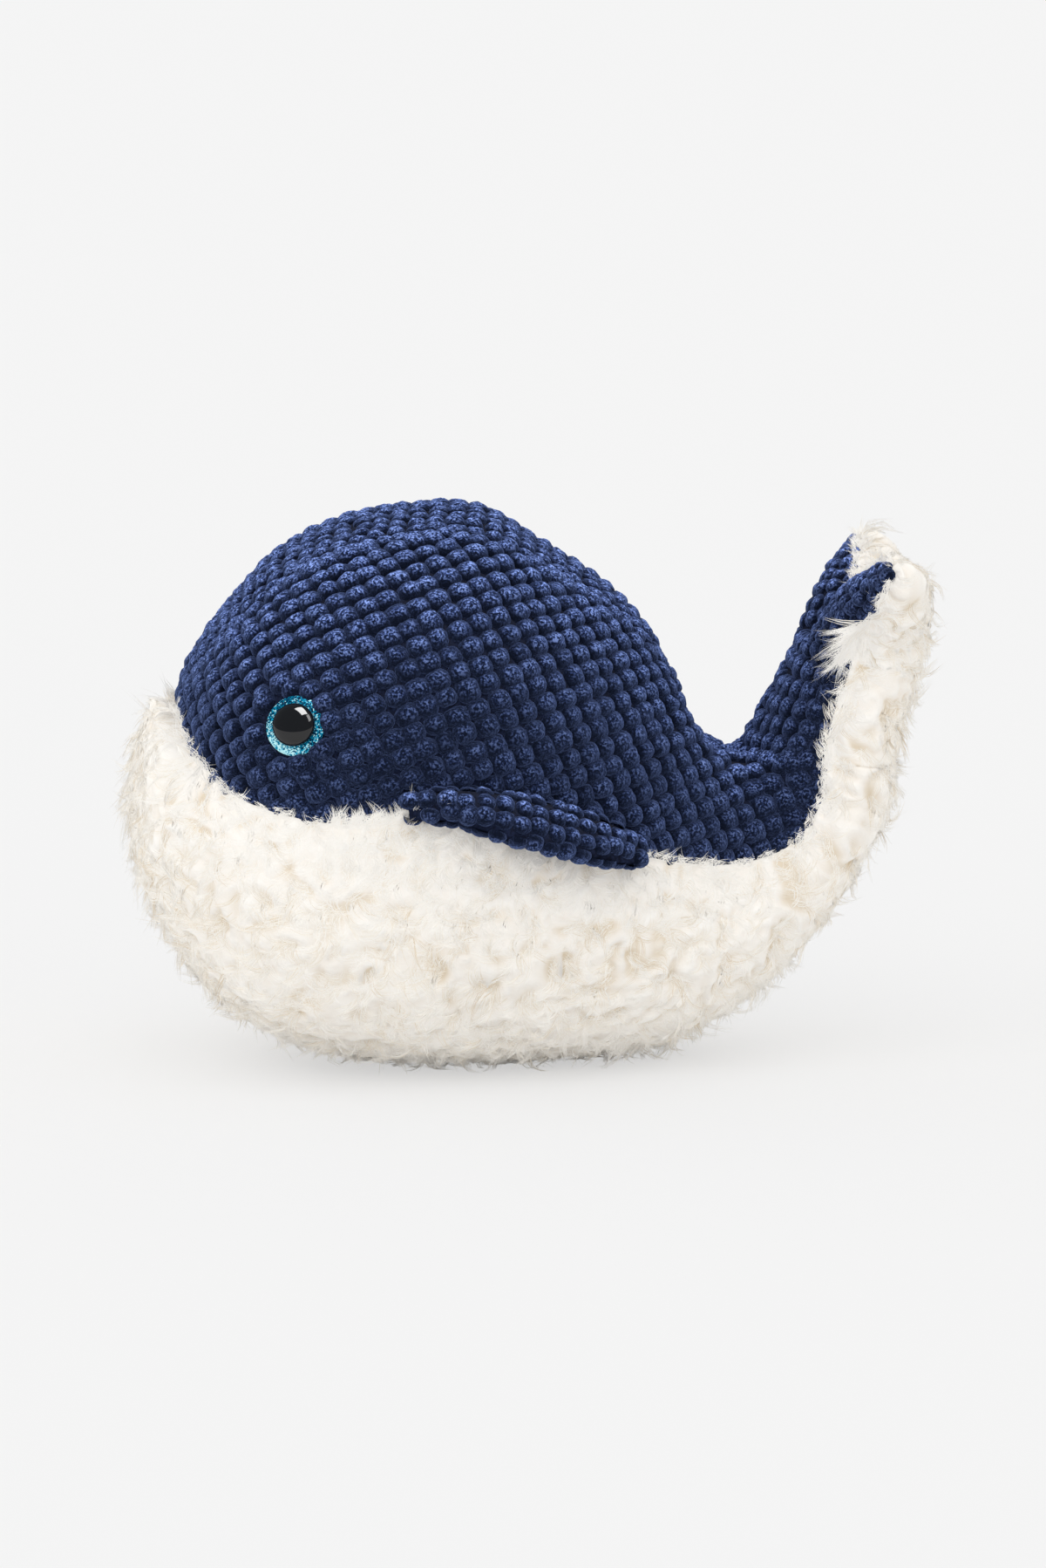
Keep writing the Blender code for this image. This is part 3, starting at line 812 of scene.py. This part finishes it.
def past_start(shares, least):
    """A rise from the least at a surface's first rows, such as the chin, to 1 a third of the way along."""
    return least + (1 - least) * smooth_step(shares[:, 0] / 0.35)


def blended(line, lock, low, part):
    """The values of each lock between two of its neighbouring stations."""
    return line[lock, low] * (1 - part) + line[lock, low + 1] * part


class Coat:
    """Long pile over a surface: a matted mass in soft tufts, and fine strands along it."""

    def __init__(self, surface, depth, length, swirl, size=1.0):
        self.surface = surface
        self.length = length
        self.swirl = swirl
        self.size = size
        rows, columns = surface.points.shape[:2]
        shares = np.meshgrid(spread(0, 1, rows - 1), spread(0, 1, columns - 1), indexing="ij")
        deep = depth(np.stack(shares, axis=-1).reshape(-1, 2)).reshape(rows, columns)
        warps = [noise(surface.points + warp_step * number, warp_size) for number in range(3)]
        warp = surface.points + warp_depth * np.stack(warps, axis=-1)
        lump = mass_lump * size
        self.tufts = 0.65 * (1 - 2 * abs(noise(warp, lump))) + 0.35 * noise(warp, lump / 2.2)
        self.deep = deep + mass_relief * np.minimum(deep / mass_depth, 1) ** 0.7 * self.tufts
        self.top = surface.raised(self.deep)

    def mass(self, name):
        """The matted mass that the strands lie on, with its own tufts."""
        made = skin(name, self.surface, self.deep, fur_mass)
        low = np.zeros(self.tufts.size)
        # Its tufts as a height, which the material turns into painted shade in the hollows
        attribute(made.data, "height", np.concatenate((self.tufts.ravel(), low)) * 0.5 + 0.5)
        return made

    def field(self):
        """Locks all over the surface: where each grows and the way it lies."""
        spots, normals, _, shares = self.surface.nearest(self.surface.scattered(lock_pitch * self.size))
        lean = np.clip(spots[:, 0] / lean_length, -lean_most, lean_most)
        down = laid(np.stack((lean, np.zeros(len(spots)), np.full(len(spots), -1.0)), axis=1), normals)
        over = np.cross(normals, down)
        swirl = self.swirl * past_start(shares, 0.45)
        turn = swirl * np.pi * noise(spots, swirl_size) + rng.normal(0, swirl_spread, len(spots))
        return spots, down * np.cos(turn)[:, None] + over * np.sin(turn)[:, None]

    def fringe(self, edges, sweep):
        """Locks along edges of the surface, which lie along its seams and a little over them."""
        points = self.surface.points
        grids = {
            "first": (points[:, 0], points[:, 1]),
            "last": (points[:, -1], points[:, -2]),
            "start": (points[0], points[1]),
            "end": (points[-1], points[-2]),
        }
        spots = []
        flows = []
        for edge in edges:
            border, inside = grids[edge]
            run = np.concatenate(([0], np.cumsum(np.linalg.norm(np.diff(border, axis=0), axis=1))))
            places = np.arange(0, run[-1], seam_pitch)
            picked = np.clip(np.searchsorted(run, places), 0, len(border) - 1)
            tangent = unit(np.gradient(border, axis=0))[picked]
            outward = unit(border - inside)[picked]
            along = tangent * rng.choice(seam_ways, (len(picked), 1))
            spots.append(border[picked])
            flows.append(along + seam_spread * outward + np.array(sweep))
        return np.concatenate(spots), np.concatenate(flows)

    def guides(self, spots, flow, share, rise, free=False):
        """The locks' middle lines over the mass, with their sides, normals and tones.

        Free locks keep straight on where the surface ends, over what lies beyond it. A stray lock's
        normals are shorter, so that its strands show their own sides.
        """
        shares = self.surface.nearest(spots)[3]
        count = len(spots)
        length = self.length(shares) * share * rng.normal(1, 0.2, count)
        turn = rng.choice((-1, 1), count) * rng.uniform(0.3, lock_turn, count) * past_start(shares, 0.35)
        turn = turn * (0.4 if free else 1.0)
        stray = (rng.uniform(0, 1, count) < (free_calm if free else 1.0) * stray_share)[:, None]
        middle = []
        sides = []
        facing = []
        here, normals, _, _ = self.top.nearest(spots)
        for number in range(lock_stations):
            done = number / (lock_stations - 1)
            flow = laid(flow, normals)
            over = np.cross(normals, flow)
            lift = strand_lift + (rise + stray_lift * stray) * done**1.5
            middle.append(here + normals * lift)
            sides.append(over)
            facing.append(normals * (1 - stray_lean * stray * done))
            bend = (turn / lock_stations)[:, None]
            flow = flow * np.cos(bend) + over * np.sin(bend)
            here = here + flow * (length / (lock_stations - 1))[:, None]
            if not free:
                here, normals, _, _ = self.top.nearest(here)
        tone = rng.uniform(*lock_tone, count) + self.paler(shares, spots)
        rows, columns = self.tufts.shape
        row = np.round(shares[:, 0] * (rows - 1)).astype(int)
        column = np.round(shares[:, 1] * (columns - 1)).astype(int)
        # Painted shade: locks in the mass's hollows are darker, those on its tufts lighter
        tone = tone + 0.55 * self.tufts[row, column]
        return np.stack(middle, axis=1), np.stack(sides, axis=1), np.stack(facing, axis=1), tone

    def paler(self, shares, spots):
        """How much paler the locks are near the side seams, and at the bottom as painted light against the
        shade there.
        """
        seam = 1 - off_seam(shares, pale_seam_width)
        low = 1 - smooth_step(spots[:, 2] / pale_height)
        return pale_seam * seam + painted_light_low * low

    def locks(self, name, parts, edges, sweep, tufts):
        """The strands, and the fringe over the edges named, in as many pieces as keep each one small."""
        grown = [self.guides(*self.field(), 1.0, lock_rise)]
        grown.append(self.guides(*self.fringe(edges, sweep), seam_length, seam_rise, True))
        for tuft in tufts:
            grown.append(self.guides(*tuft, True))
        lines = [np.concatenate(group) for group in zip(*grown)]
        order = np.argsort(lines[0][:, 0, 0], kind="stable")
        made = []
        for number, chosen in enumerate(np.array_split(order, parts), 1):
            made.append(self.strands("%s_%d" % (name, number), *[line[chosen] for line in lines]))
        return made

    def strands(self, name, middle, side, facing, tone):
        """The strands of the locks: they part from the middle line, then close to a wisp at the tip."""
        locks, steps = middle.shape[:2]
        each = (locks, lock_strands, 1)
        start = rng.uniform(-0.10, 0.30, each)
        end = rng.uniform(0.70, 1.20, each)
        share = np.linspace(0, 1, strand_points)[None, None]
        t = start + (end - start) * share
        place = t * (steps - 1)
        low = np.clip(np.floor(place).astype(int), 0, steps - 2)
        part = (place - low)[..., None]
        lock = np.arange(locks)[:, None, None]
        spine = blended(middle, lock, low, part)
        part = np.clip(part, 0, 1)
        aside = blended(side, lock, low, part)
        leaning = blended(facing, lock, low, part)
        normal = unit(leaning)
        apart = rng.uniform(-1, 1, each) * lock_width * self.size * (1 - 0.70 * share**2)
        wave = rng.uniform(0, 2 * np.pi, each) + rng.uniform(2, 5, each) * share
        apart = apart + strand_wave * np.sin(wave)
        lift = rng.uniform(-0.5, 1.0, each) * strand_lift + strand_bob * np.cos(wave)
        paths = spine + apart[..., None] * aside + lift[..., None] * normal
        loose = np.where(rng.uniform(0, 1, (*each, 1)) < loose_share, loose_reach, held_reach)
        paths = paths + loose * rng.normal(0, 1, (*each, 3)) * share[..., None] ** 2
        glow = np.array((0, 0, glow_up)) * np.clip(0.4 - normal[..., 2:], 0, 1)
        facing = unit(normal + glow + 0.25 * (apart / lock_width)[..., None] * aside)
        facing = facing * np.linalg.norm(leaning, axis=-1, keepdims=True)
        # Painted shade: each strand darker towards its root, deep in the pile, and a little at random
        shade = (0.35 + 0.65 * np.clip(t, 0, 1)) * rng.uniform(0.85, 1.0, each)
        tint = np.repeat(tone, lock_strands) + rng.normal(0, 0.20, locks * lock_strands)
        shape = (-1, strand_points, 3)
        return hairs(name, paths.reshape(shape), facing.reshape(shape), shade.reshape(shape[:2]), tint)

    def grow(self, name, bodies, parts, edges, sweep=(0, 0, 0), tufts=()):
        """The whole coat of a panel: its mass, which stands for the panel's node, and its locks."""
        mass = self.mass(name + "_mass")
        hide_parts(name + "_fur_panel")
        carry([mass] + self.locks(name + "_pile", parts, edges, sweep, tufts), bodies)


class Graph:
    """The nodes of a material or of the world, with short ways to add them and join them."""

    def __init__(self, owner):
        owner.use_nodes = True
        self.nodes = owner.node_tree.nodes
        self.links = owner.node_tree.links

    def feed(self, node, inputs):
        """Sets inputs of a node to values, or joins them to the outputs of other nodes."""
        for name, given in inputs.items():
            if isinstance(given, bpy.types.NodeSocket):
                self.links.new(given, node.inputs[name])
            else:
                node.inputs[name].default_value = given

    def add(self, kind, inputs, **settings):
        """A new node of a kind."""
        node = self.nodes.new("ShaderNode" + kind)
        for name, setting in settings.items():
            setattr(node, name, setting)
        self.feed(node, inputs)
        return node

    def texture(self, kind, inputs):
        """The outputs of a texture over the object's own coordinates."""
        coordinates = self.add("TexCoord", {})
        return self.add("Tex" + kind, {"Vector": coordinates.outputs["Object"], **inputs}).outputs

    def mesh_value(self, name):
        """A number that the mesh carries for each of its points."""
        return self.add("Attribute", {}, attribute_name=name).outputs["Fac"]

    def toned(self, value, stops):
        """A colour that follows a value, from (place, colour) stops."""
        node = self.add("ValToRGB", {"Fac": value})
        elements = node.color_ramp.elements
        while len(elements) < len(stops):
            elements.new(0.5)
        for element, (place, colour) in zip(elements, stops):
            element.position = place
            element.color = (*colour, 1)
        return node.outputs["Color"]

    def times(self, first, second):
        """Two colours multiplied."""
        node = self.add("Mix", {}, data_type="RGBA", blend_type="MULTIPLY")
        self.feed(node, {"Factor": 1.0, "A": first, "B": second})
        return node.outputs["Result"]

    def bumped(self, height, strength, distance):
        """A normal that rises and falls with a value."""
        node = self.add("Bump", {"Strength": strength, "Distance": distance, "Height": height})
        return node.outputs["Normal"]

    def worked_out(self, operation, values):
        """The result of a maths operation on values."""
        return self.add("Math", dict(enumerate(values)), operation=operation).outputs["Value"]

    def mixed(self, share, first, second):
        """One shader turned into another by a share."""
        return self.add("MixShader", {"Fac": share, 1: first, 2: second}).outputs[0]


def grey(level):
    """A grey of a level."""
    return (level, level, level)


def principled(name):
    """A new material, its graph and its shader."""
    made = bpy.data.materials.new(name)
    graph = Graph(made)
    return made, graph, graph.nodes["Principled BSDF"]


def plush_material():
    """Navy bubble plush: speckled by its curls, with painted shade between the bubbles and on their
    downturned sides, and painted light where the cloth faces up.
    """
    made, graph, shader = principled("navy_bubble_plush")
    curls = graph.texture("Noise", {"Scale": 850, "Detail": 3, "Roughness": 0.6})["Fac"]
    fleck_stops = [(0.45, (0.002, 0.004, 0.016)), (0.52, (0.064, 0.110, 0.335)), (0.60, (0.330, 0.470, 1.0))]
    # Painted shade: darker low on each bubble, between the bubbles
    pit_shade_stops = [
        (0.40, (0.01, 0.01, 0.02)), (0.67, (0.14, 0.14, 0.16)), (0.86, (0.76, 0.76, 0.78)), (0.96, grey(1))
    ]
    tone_and_light_stops = [(0.0, grey(0.02)), (0.30, grey(0.185)), (0.95, grey(1))]
    flecks = graph.toned(curls, fleck_stops)
    depth = graph.toned(graph.mesh_value("height"), pit_shade_stops)
    # Painted light and shade from the bubbles' tint, with each bubble's own tone at random
    tone_and_painted_light = graph.toned(graph.mesh_value("tint"), tone_and_light_stops)
    graph.feed(shader, {
        "Base Color": graph.times(graph.times(flecks, depth), tone_and_painted_light),
        "Normal": graph.bumped(curls, 1.0, 0.0009),
        "Roughness": 0.92,
        "Specular IOR Level": 0.0,
        "Sheen Weight": 1.0,
        "Sheen Roughness": 0.55,
        "Sheen Tint": (0.16, 0.23, 0.50, 1),
    })
    return made


def pile_material():
    """Cream long pile: painted shade, tan at the roots deep in the pile and in the mass's hollows, near
    white at the tips, each lock its own tone, and paler near the floor as painted light.
    """
    made, graph, shader = principled("cream_long_pile")
    # Painted shade: tan towards the strands' roots, deep in the pile
    root_shade_stops = [(0.0, (0.86, 0.78, 0.66)), (0.35, (0.945, 0.91, 0.85)), (1.0, (0.975, 0.955, 0.915))]
    tone_stops = [
        (0.0, (0.80, 0.71, 0.59)), (0.25, (0.91, 0.86, 0.78)), (0.55, (0.97, 0.95, 0.915)), (0.9, grey(1))
    ]
    length = graph.toned(graph.mesh_value("shade"), root_shade_stops)
    tone = graph.toned(graph.mesh_value("tint"), tone_stops)
    colour = graph.times(length, tone)
    graph.feed(shader, {"Base Color": colour, "Roughness": 0.75, "Specular IOR Level": 0.05})
    return made


def mass_material():
    """The matted mass under the locks: painted shade, tan in its hollows, cream on its tufts."""
    made, graph, shader = principled("cream_matted_pile")
    # Painted shade: tan in the hollows between the tufts
    stops = [(0.25, (0.76, 0.66, 0.52)), (0.60, (0.92, 0.87, 0.80)), (1.0, (0.96, 0.94, 0.90))]
    fibres = graph.texture("Noise", {"Scale": 420, "Detail": 4, "Distortion": 1.2})["Fac"]
    graph.feed(shader, {
        "Base Color": graph.toned(graph.mesh_value("height"), stops),
        "Normal": graph.bumped(fibres, 0.5, 0.0008),
        "Roughness": 0.9,
        "Specular IOR Level": 0.1,
    })
    return made


def cloth_material(name, dark, light, scale):
    """A cloth backing or filling: two tones in fine noise, with bump."""
    made, graph, shader = principled(name)
    grain = graph.texture("Noise", {"Scale": scale, "Detail": 4})["Fac"]
    graph.feed(shader, {
        "Base Color": graph.toned(grain, [(0.35, dark), (0.65, light)]),
        "Normal": graph.bumped(grain, 0.6, 0.001),
        "Roughness": 0.95,
        "Specular IOR Level": 0.1,
    })
    return made


def glitter_material():
    """Blue glitter under clear plastic: flakes of many tones, each tilted its own way, brighter where the
    disc carries painted light.
    """
    made, graph, shader = principled("glitter_iris")
    flakes = graph.texture("Voronoi", {"Scale": 1800})["Color"]
    split = graph.add("SeparateColor", {"Color": flakes}).outputs
    stops = [
        (0.36, (0, 0.02, 0.06)), (0.50, (0, 0.13, 0.26)), (0.84, (0, 0.40, 0.64)), (0.96, (0.55, 0.95, 1.0))
    ]
    # Each flake's tone at random, plus painted light towards the disc's lower front
    flake_tone_and_painted_light = graph.worked_out("MULTIPLY_ADD", (graph.mesh_value("tint"), 0.55, split["Red"]))
    graph.feed(shader, {
        "Base Color": graph.toned(flake_tone_and_painted_light, stops),
        "Normal": graph.bumped(split["Green"], 0.7, 0.0006),
        "Metallic": 0.15,
        "Roughness": 0.30,
        "Specular IOR Level": 0.05,
        "Coat Weight": 0.02,
        "Coat Roughness": 0.05,
    })
    return made


def gloss_material(name, colour, roughness):
    """Moulded plastic with a faint unevenness."""
    made, graph, shader = principled(name)
    waves = graph.texture("Noise", {"Scale": 120})["Fac"]
    normal = graph.bumped(waves, 0.05, 0.0002)
    graph.feed(shader, {"Base Color": (*colour, 1), "Normal": normal, "Roughness": roughness})
    return made


def eye_seat(mirror):
    """Where an eye sits: its place on the core, and its directions along the body, up and outward."""
    here = core_point(eye_station, eye_angle)
    ahead = core_point(eye_station + station_step, eye_angle)
    above = core_point(eye_station, eye_angle + station_step)
    outward = unit(np.cross(above - here, ahead - here))
    outward = outward * -np.sign(outward[1])
    along = unit((ahead - here) - ((ahead - here) @ outward) * outward)
    flip = np.array((1, mirror, 1))
    return here * flip, along * flip, np.cross(outward, along) * flip, outward * flip


def turned(name, profile, seat, look):
    """A profile of (radius, height) points turned round an eye's own axis, as one closed form."""
    here, along, sideways, outward = seat
    turns = turns_of(eye_sides)[:, None]
    ring = np.cos(turns) * along + np.sin(turns) * sideways
    points = [here + radius * ring + height * outward for radius, height in profile]
    index = np.arange(len(profile) * eye_sides).reshape(len(profile), eye_sides)
    after = np.roll(index, -1, axis=1)
    faces = np.stack((index[:-1], after[:-1], after[1:], index[1:]), axis=-1).reshape(-1, 4)
    data = mesh_from(name, np.concatenate(points), faces)
    faced_out(data, fill=True)
    data.shade_smooth()
    data.set_sharp_from_angle(angle=math.radians(50))
    return piece(name, data, look)


def make_iris(side, seat, low, high):
    """The glitter disc of an eye, with a rounded edge, and painted light that makes it brighter towards its
    lower front.
    """
    radius = iris_diameter / 2
    profile = [(iris_bore, low), (iris_bore, high)] + [(out, high - fall) for out, fall in iris_slope]
    profile += [(radius, high - iris_edge), (radius, low), (iris_bore, low)]
    disc = turned("eye_%s_glitter_disc" % side, profile, seat, glitter)
    places = np.array([tuple(vertex.co) for vertex in disc.data.vertices]) - seat[0]
    lower = (places @ unit(np.array(iris_painted_light_way))) / radius
    # Painted light: the flakes brighter towards the disc's lower front
    attribute(disc.data, "tint", smooth_step((lower - 0.2) / 0.8))
    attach(disc, "body")
    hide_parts("eye_%s_iris" % side)


def make_pupil(side, seat, base):
    """The black dome of an eye, one moulding with the shank under it."""
    radius = pupil_diameter / 2
    profile = [(axis_radius, base - shank_length), (shank_radius, base - shank_length)]
    profile += [(shank_radius, base), (radius - pupil_edge, base)]
    profile += [(radius, base + pupil_edge), (radius, base + pupil_rim)]
    for angle in np.radians(np.linspace(4, 89.8, 40)):
        rise = (pupil_height - pupil_rim) * math.sin(angle)
        profile.append((radius * math.cos(angle), base + pupil_rim + rise))
    ball = turned("eye_%s_dome" % side, profile, seat, pupil_black)
    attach(ball, "body")
    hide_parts("eye_%s_pupil" % side)


def make_eye(side, mirror):
    """One safety eye, and the spot that the bubbles keep clear of."""
    seat = eye_seat(mirror)
    low = backing + clearance
    high = low + iris_thickness
    make_iris(side, seat, low, high)
    make_pupil(side, seat, high + clearance)
    return seat[0] - eye_cover * seat[1], eye_clear


def make_back(side, mirror, eye_spot):
    """A side panel of the back, its rows rising towards the tail, its bubbles clear of the eye."""
    name = "back_" + side
    nose_margin, side_margin = back_margins
    first, last = (0, crown_angle) if mirror > 0 else (180 - crown_angle, 180)
    sheet = Surface(trunk, (0, root_place), (first, last), (90, 40), upper_roundness)
    cloth(name + "_cloth", sheet, name + "_panel", ["body"])
    angles = (first + side_margin, last - side_margin)
    inner = Surface(trunk, (nose_margin, root_place - root_margin), angles, (150, 60), upper_roundness)
    place, angle = side_centre
    angle = angle if mirror > 0 else 180 - angle
    centre = core_point(place, angle)
    ahead = core_point(place + row_step, angle) - centre
    outward = inner.nearest([centre])[1][0]
    ahead = unit(ahead - (ahead @ outward) * outward)
    spots = dome_lattice(inner, centre, ahead, outward, side_row_tilt * mirror, mirror)
    turn = math.radians(side_row_tilt * mirror)
    direction = ahead * math.cos(turn) + np.cross(outward, ahead) * math.sin(turn)
    rows = partial(carried, direction, outward)
    carry(bubbles(name + "_bubbles", inner, spots, rows, 3, keep_clear=[eye_spot]), ["body"])


def make_crown():
    """The crown gusset, its rows running along the ridge."""
    nose_margin, side_margin = crown_margins
    angles = (crown_angle, 180 - crown_angle)
    sheet = Surface(trunk, (0, root_place), angles, (90, 40), upper_roundness)
    cloth("crown_cloth", sheet, "crown_gusset", ["body"])
    angles = (crown_angle + side_margin, 180 - side_margin - crown_angle)
    inner = Surface(trunk, (nose_margin, root_place - root_margin), angles, (150, 60), upper_roundness)
    strip_bubbles("crown_bubbles", inner, crown_scale, ["body"], 2)


def belly_depth(shares):
    """How thick the belly's mass is: thin at the side seams."""
    return mass_at_seam + (mass_depth - mass_at_seam) * off_seam(shares, 0.50)


def belly_length(shares):
    """How long the belly's locks are: short at the side seams, full at the chin."""
    chin = smooth_step((0.30 - shares[:, 0]) / 0.2)
    return lock_length * (0.75 + 0.25 * off_seam(shares, 0.45) + 0.45 * chin)


def make_belly():
    """The belly, chin and sides of long pile, with tufts along the seam in front of the fins."""
    steps = (258, 190)
    surface = Surface(trunk, (0, root_place), (-180, 0), steps, lower_roundness)
    coat = Coat(surface, belly_depth, belly_length, 0.75)
    before_fin = slice(*[int(steps[0] * place / root_place) for place in fin_tuft_places])
    tufts = []
    for column in fin_tuft_columns:
        spots = np.repeat(surface.points[before_fin, column], tuft_locks, axis=0)
        spots = spots + rng.normal(0, fin_tuft_shift, (1, 3))
        flow = np.array(fin_tuft_way) + rng.normal(0, 0.30, spots.shape)
        tufts.append((spots, flow, fin_tuft_length, fin_tuft_rise))
    coat.grow("belly", ["body"], 14, ("first", "last", "start", "end"), tufts=tufts)


def tail_depth(shares):
    """How thick the mass behind the tail is: thin at the side seams."""
    return mass_at_seam + tail_mass_depth * off_seam(shares, 0.6)


def make_tail():
    """The tail: bubbles in front and long pile behind."""
    bodies = ["body", "tail", *tail_bend]
    sheet = Surface(trunk, (root_place, top_place), (0, 180), (40, 50), limb_roundness)
    cloth("tail_front_cloth", sheet, "tail_front_panel", bodies)
    filling("tail_stuffing", bodies)
    angles = (tail_side_margin, 180 - tail_side_margin)
    inner = Surface(trunk, (root_place + root_margin, top_place), angles, (50, 60), limb_roundness)
    strip_bubbles("tail_front_bubbles", inner, tail_scale, bodies)
    rear = Surface(trunk, (root_place, top_place), (-180, 0), (40, 90), limb_roundness)
    coat = Coat(rear, tail_depth, lambda shares: lock_length, 0.5, 0.9)
    coat.grow("tail", bodies, 2, ("first", "last", "start"), (-0.3, 0, -0.5))


def fluke_depth(shares):
    """How thick the mass behind a fluke is: thin at the side seams and at the tip."""
    tip = smooth_step((1.15 - shares[:, 0]) / 0.4)
    return fluke_mass_at_seam + fluke_mass_depth * off_seam(shares, 0.6) * tip


def make_fluke(side, sign):
    """A fluke: bubbles in front and long pile behind."""
    limb = fluke_sections(trunk[-1], sign)
    name = "fluke_" + side
    bodies = ["tail", name, *fluke_bend]
    last = len(limb) - 1
    front = Surface(limb, (0, last), (0, 180), (50, 30), limb_roundness)
    cloth(name + "_front_cloth", front, name + "_front_panel", bodies)
    filling(name + "_stuffing", bodies)
    tip_margin, side_margin = fluke_margins
    angles = (side_margin, 180 - side_margin)
    inner = Surface(limb, (root_margin, last - tip_margin), angles, (50, 30), limb_roundness)
    strip_bubbles(name + "_bubbles", inner, fluke_scale, bodies)
    rear = Surface(limb, (0, last), (-180, 0), (60, 40), limb_roundness)
    coat = Coat(rear, fluke_depth, lambda shares: lock_length * 0.9, 0.5, 0.75)
    outer = -1 if abs(rear.points[0, -1, 1]) > abs(rear.points[0, 0, 1]) else 0
    spots = np.repeat(rear.points[:fluke_tuft_rows, outer], tuft_locks, axis=0)
    flow = np.array(fluke_tuft_way) + rng.normal(0, 0.15, spots.shape)
    tuft = (spots, flow, fluke_tuft_lengths[side], fluke_tuft_rise)
    coat.grow(name, bodies, 1, ("first", "last", "end"), (0, 0, -0.6), [tuft])


def make_fin(side, sign):
    """A side fin: bubble plush on both faces, the outer face's bubbles going round its edges."""
    limb = fin_sections(sign)
    name = "fin_" + side
    last = len(limb) - 1
    for face, (half, angles, offset) in fin_faces.items():
        sheet = Surface(limb, (0, last), half, (50, 30), limb_roundness)
        cloth("%s_%s_cloth" % (name, face), sheet, "%s_%s_panel" % (name, face), [name])
        inner = Surface(limb, (fin_margin, last - fin_margin), angles, (60, 30), limb_roundness)
        strip_bubbles("%s_%s_bubbles" % (name, face), inner, fin_scale, [name], offset=offset)


def dress_hidden_nodes():
    """The looks of the CAD's own nodes that stay: fillings and washers."""
    for name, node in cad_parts.items():
        for ending, look in (("stuffing", fibre), ("washer", washer_plastic)):
            if name.endswith(ending):
                node.data.materials.clear()
                node.data.materials.append(look)


def add_camera():
    """The camera at the photograph's angle, with its frame as high as the photograph's."""
    data = bpy.data.cameras.new("camera")
    data.sensor_width = sensor
    data.sensor_fit = "VERTICAL"
    data.sensor_height = sensor
    data.lens = sensor * camera_distance / (photo_height * photo_scale)
    camera = placed_object("camera", data)
    azimuth = math.radians(camera_azimuth)
    elevation = math.radians(camera_elevation)
    level = math.cos(elevation)
    away = Vector((math.sin(azimuth) * level, -math.cos(azimuth) * level, math.sin(elevation)))
    camera.location = aim + away * camera_distance
    camera.rotation_euler = (-away).to_track_quat("-Z", "Y").to_euler()
    bpy.context.scene.camera = camera


def add_sun(name, energy, angle_across, turn):
    """A soft far lamp, its angles in degrees."""
    sun = bpy.data.lights.new(name, "SUN")
    sun.energy = energy
    sun.angle = math.radians(angle_across)
    lamp = placed_object(name, sun)
    lamp.rotation_euler = [math.radians(angle) for angle in turn]
    lamp.visible_glossy = False


def add_softbox(name, size, energy, place):
    """A softbox that only polished surfaces show: it lights nothing else."""
    box = bpy.data.lights.new(name, "AREA")
    box.shape = "RECTANGLE"
    box.size = size
    box.size_y = size
    box.energy = energy
    lamp = placed_object(name, box)
    lamp.location = place
    lamp.rotation_euler = (softbox_aim - lamp.location).to_track_quat("-Z", "Y").to_euler()
    lamp.visible_diffuse = False
    lamp.visible_transmission = False


def add_world():
    """An even pale world: one look for the camera, one for polished surfaces, and one that lights."""
    world = bpy.data.worlds.new("world")
    bpy.context.scene.world = world
    graph = Graph(world)
    shown = graph.nodes["Background"]
    graph.feed(shown, {"Color": (*grey(backdrop), 1)})
    lighting = graph.add("Background", {"Color": (1, 1, 1, 1), "Strength": world_light})
    studio = graph.add("Background", {"Color": studio_colour, "Strength": studio_light})
    rays = graph.add("LightPath", {}).outputs
    unseen = graph.mixed(rays["Is Glossy Ray"], lighting.outputs[0], studio.outputs[0])
    seen = graph.worked_out("MAXIMUM", (rays["Is Camera Ray"], rays["Is Transmission Ray"]))
    graph.feed(graph.nodes["World Output"], {"Surface": graph.mixed(seen, unseen, shown.outputs[0])})


def add_floor():
    """A pale floor, which the camera sees close to the backdrop's own colour."""
    made, graph, shader = principled("floor")
    pale = (*grey(floor_albedo), 1)
    graph.feed(shader, {"Base Color": pale, "Roughness": 1.0, "Specular IOR Level": 0.0})
    glow = graph.add("Emission", {"Color": (*grey(backdrop), 1)})
    rays = graph.add("LightPath", {}).outputs
    part = graph.worked_out("MULTIPLY", (rays["Is Camera Ray"], floor_glow))
    surface = graph.mixed(part, shader.outputs[0], glow.outputs[0])
    graph.feed(graph.nodes["Material Output"], {"Surface": surface})
    corners = np.array([(-1, -1, 0), (1, -1, 0), (1, 1, 0), (-1, 1, 0)]) * floor_size
    floor = piece("floor", mesh_from("floor", corners, np.array([[0, 1, 2, 3]])), made)


plush = plush_material()
fur = pile_material()
plush_backing = cloth_material("navy_backing", (0.003, 0.005, 0.016), (0.010, 0.016, 0.045), 600)
fur_mass = mass_material()
fibre = cloth_material("stuffing_fibre", (0.70, 0.70, 0.69), (0.88, 0.88, 0.87), 300)
glitter = glitter_material()
pupil_black = gloss_material("pupil_black", (0.004, 0.004, 0.005), 0.04)
washer_plastic = gloss_material("washer_plastic", (0.75, 0.75, 0.73), 0.45)

trunk = [trunk_section(row) for row in body_shares + tail_shares]
root_place = len(body_shares) - 1
top_place = len(trunk) - 1
for side, sign in (("left", -1), ("right", 1)):
    make_back(side, -sign, make_eye(side, -sign))
    make_fluke(side, sign)
    make_fin(side, sign)
make_crown()
make_belly()
make_tail()
dress_hidden_nodes()

add_camera()
add_sun("key", 0.44, 60, (28, -18, 0))
add_sun("fill", 0.20, 120, (84, 0, -5))
add_sun("nose_side", 0.27, 120, (80, 0, -80))
add_world()
add_softbox("softbox_above", 1.2, 85, (0.15, -0.5, 2.0))
add_softbox("softbox_right", 0.9, 16, (1.2, -0.95, 1.5))
add_floor()
bpy.context.scene.view_settings.view_transform = "Standard"
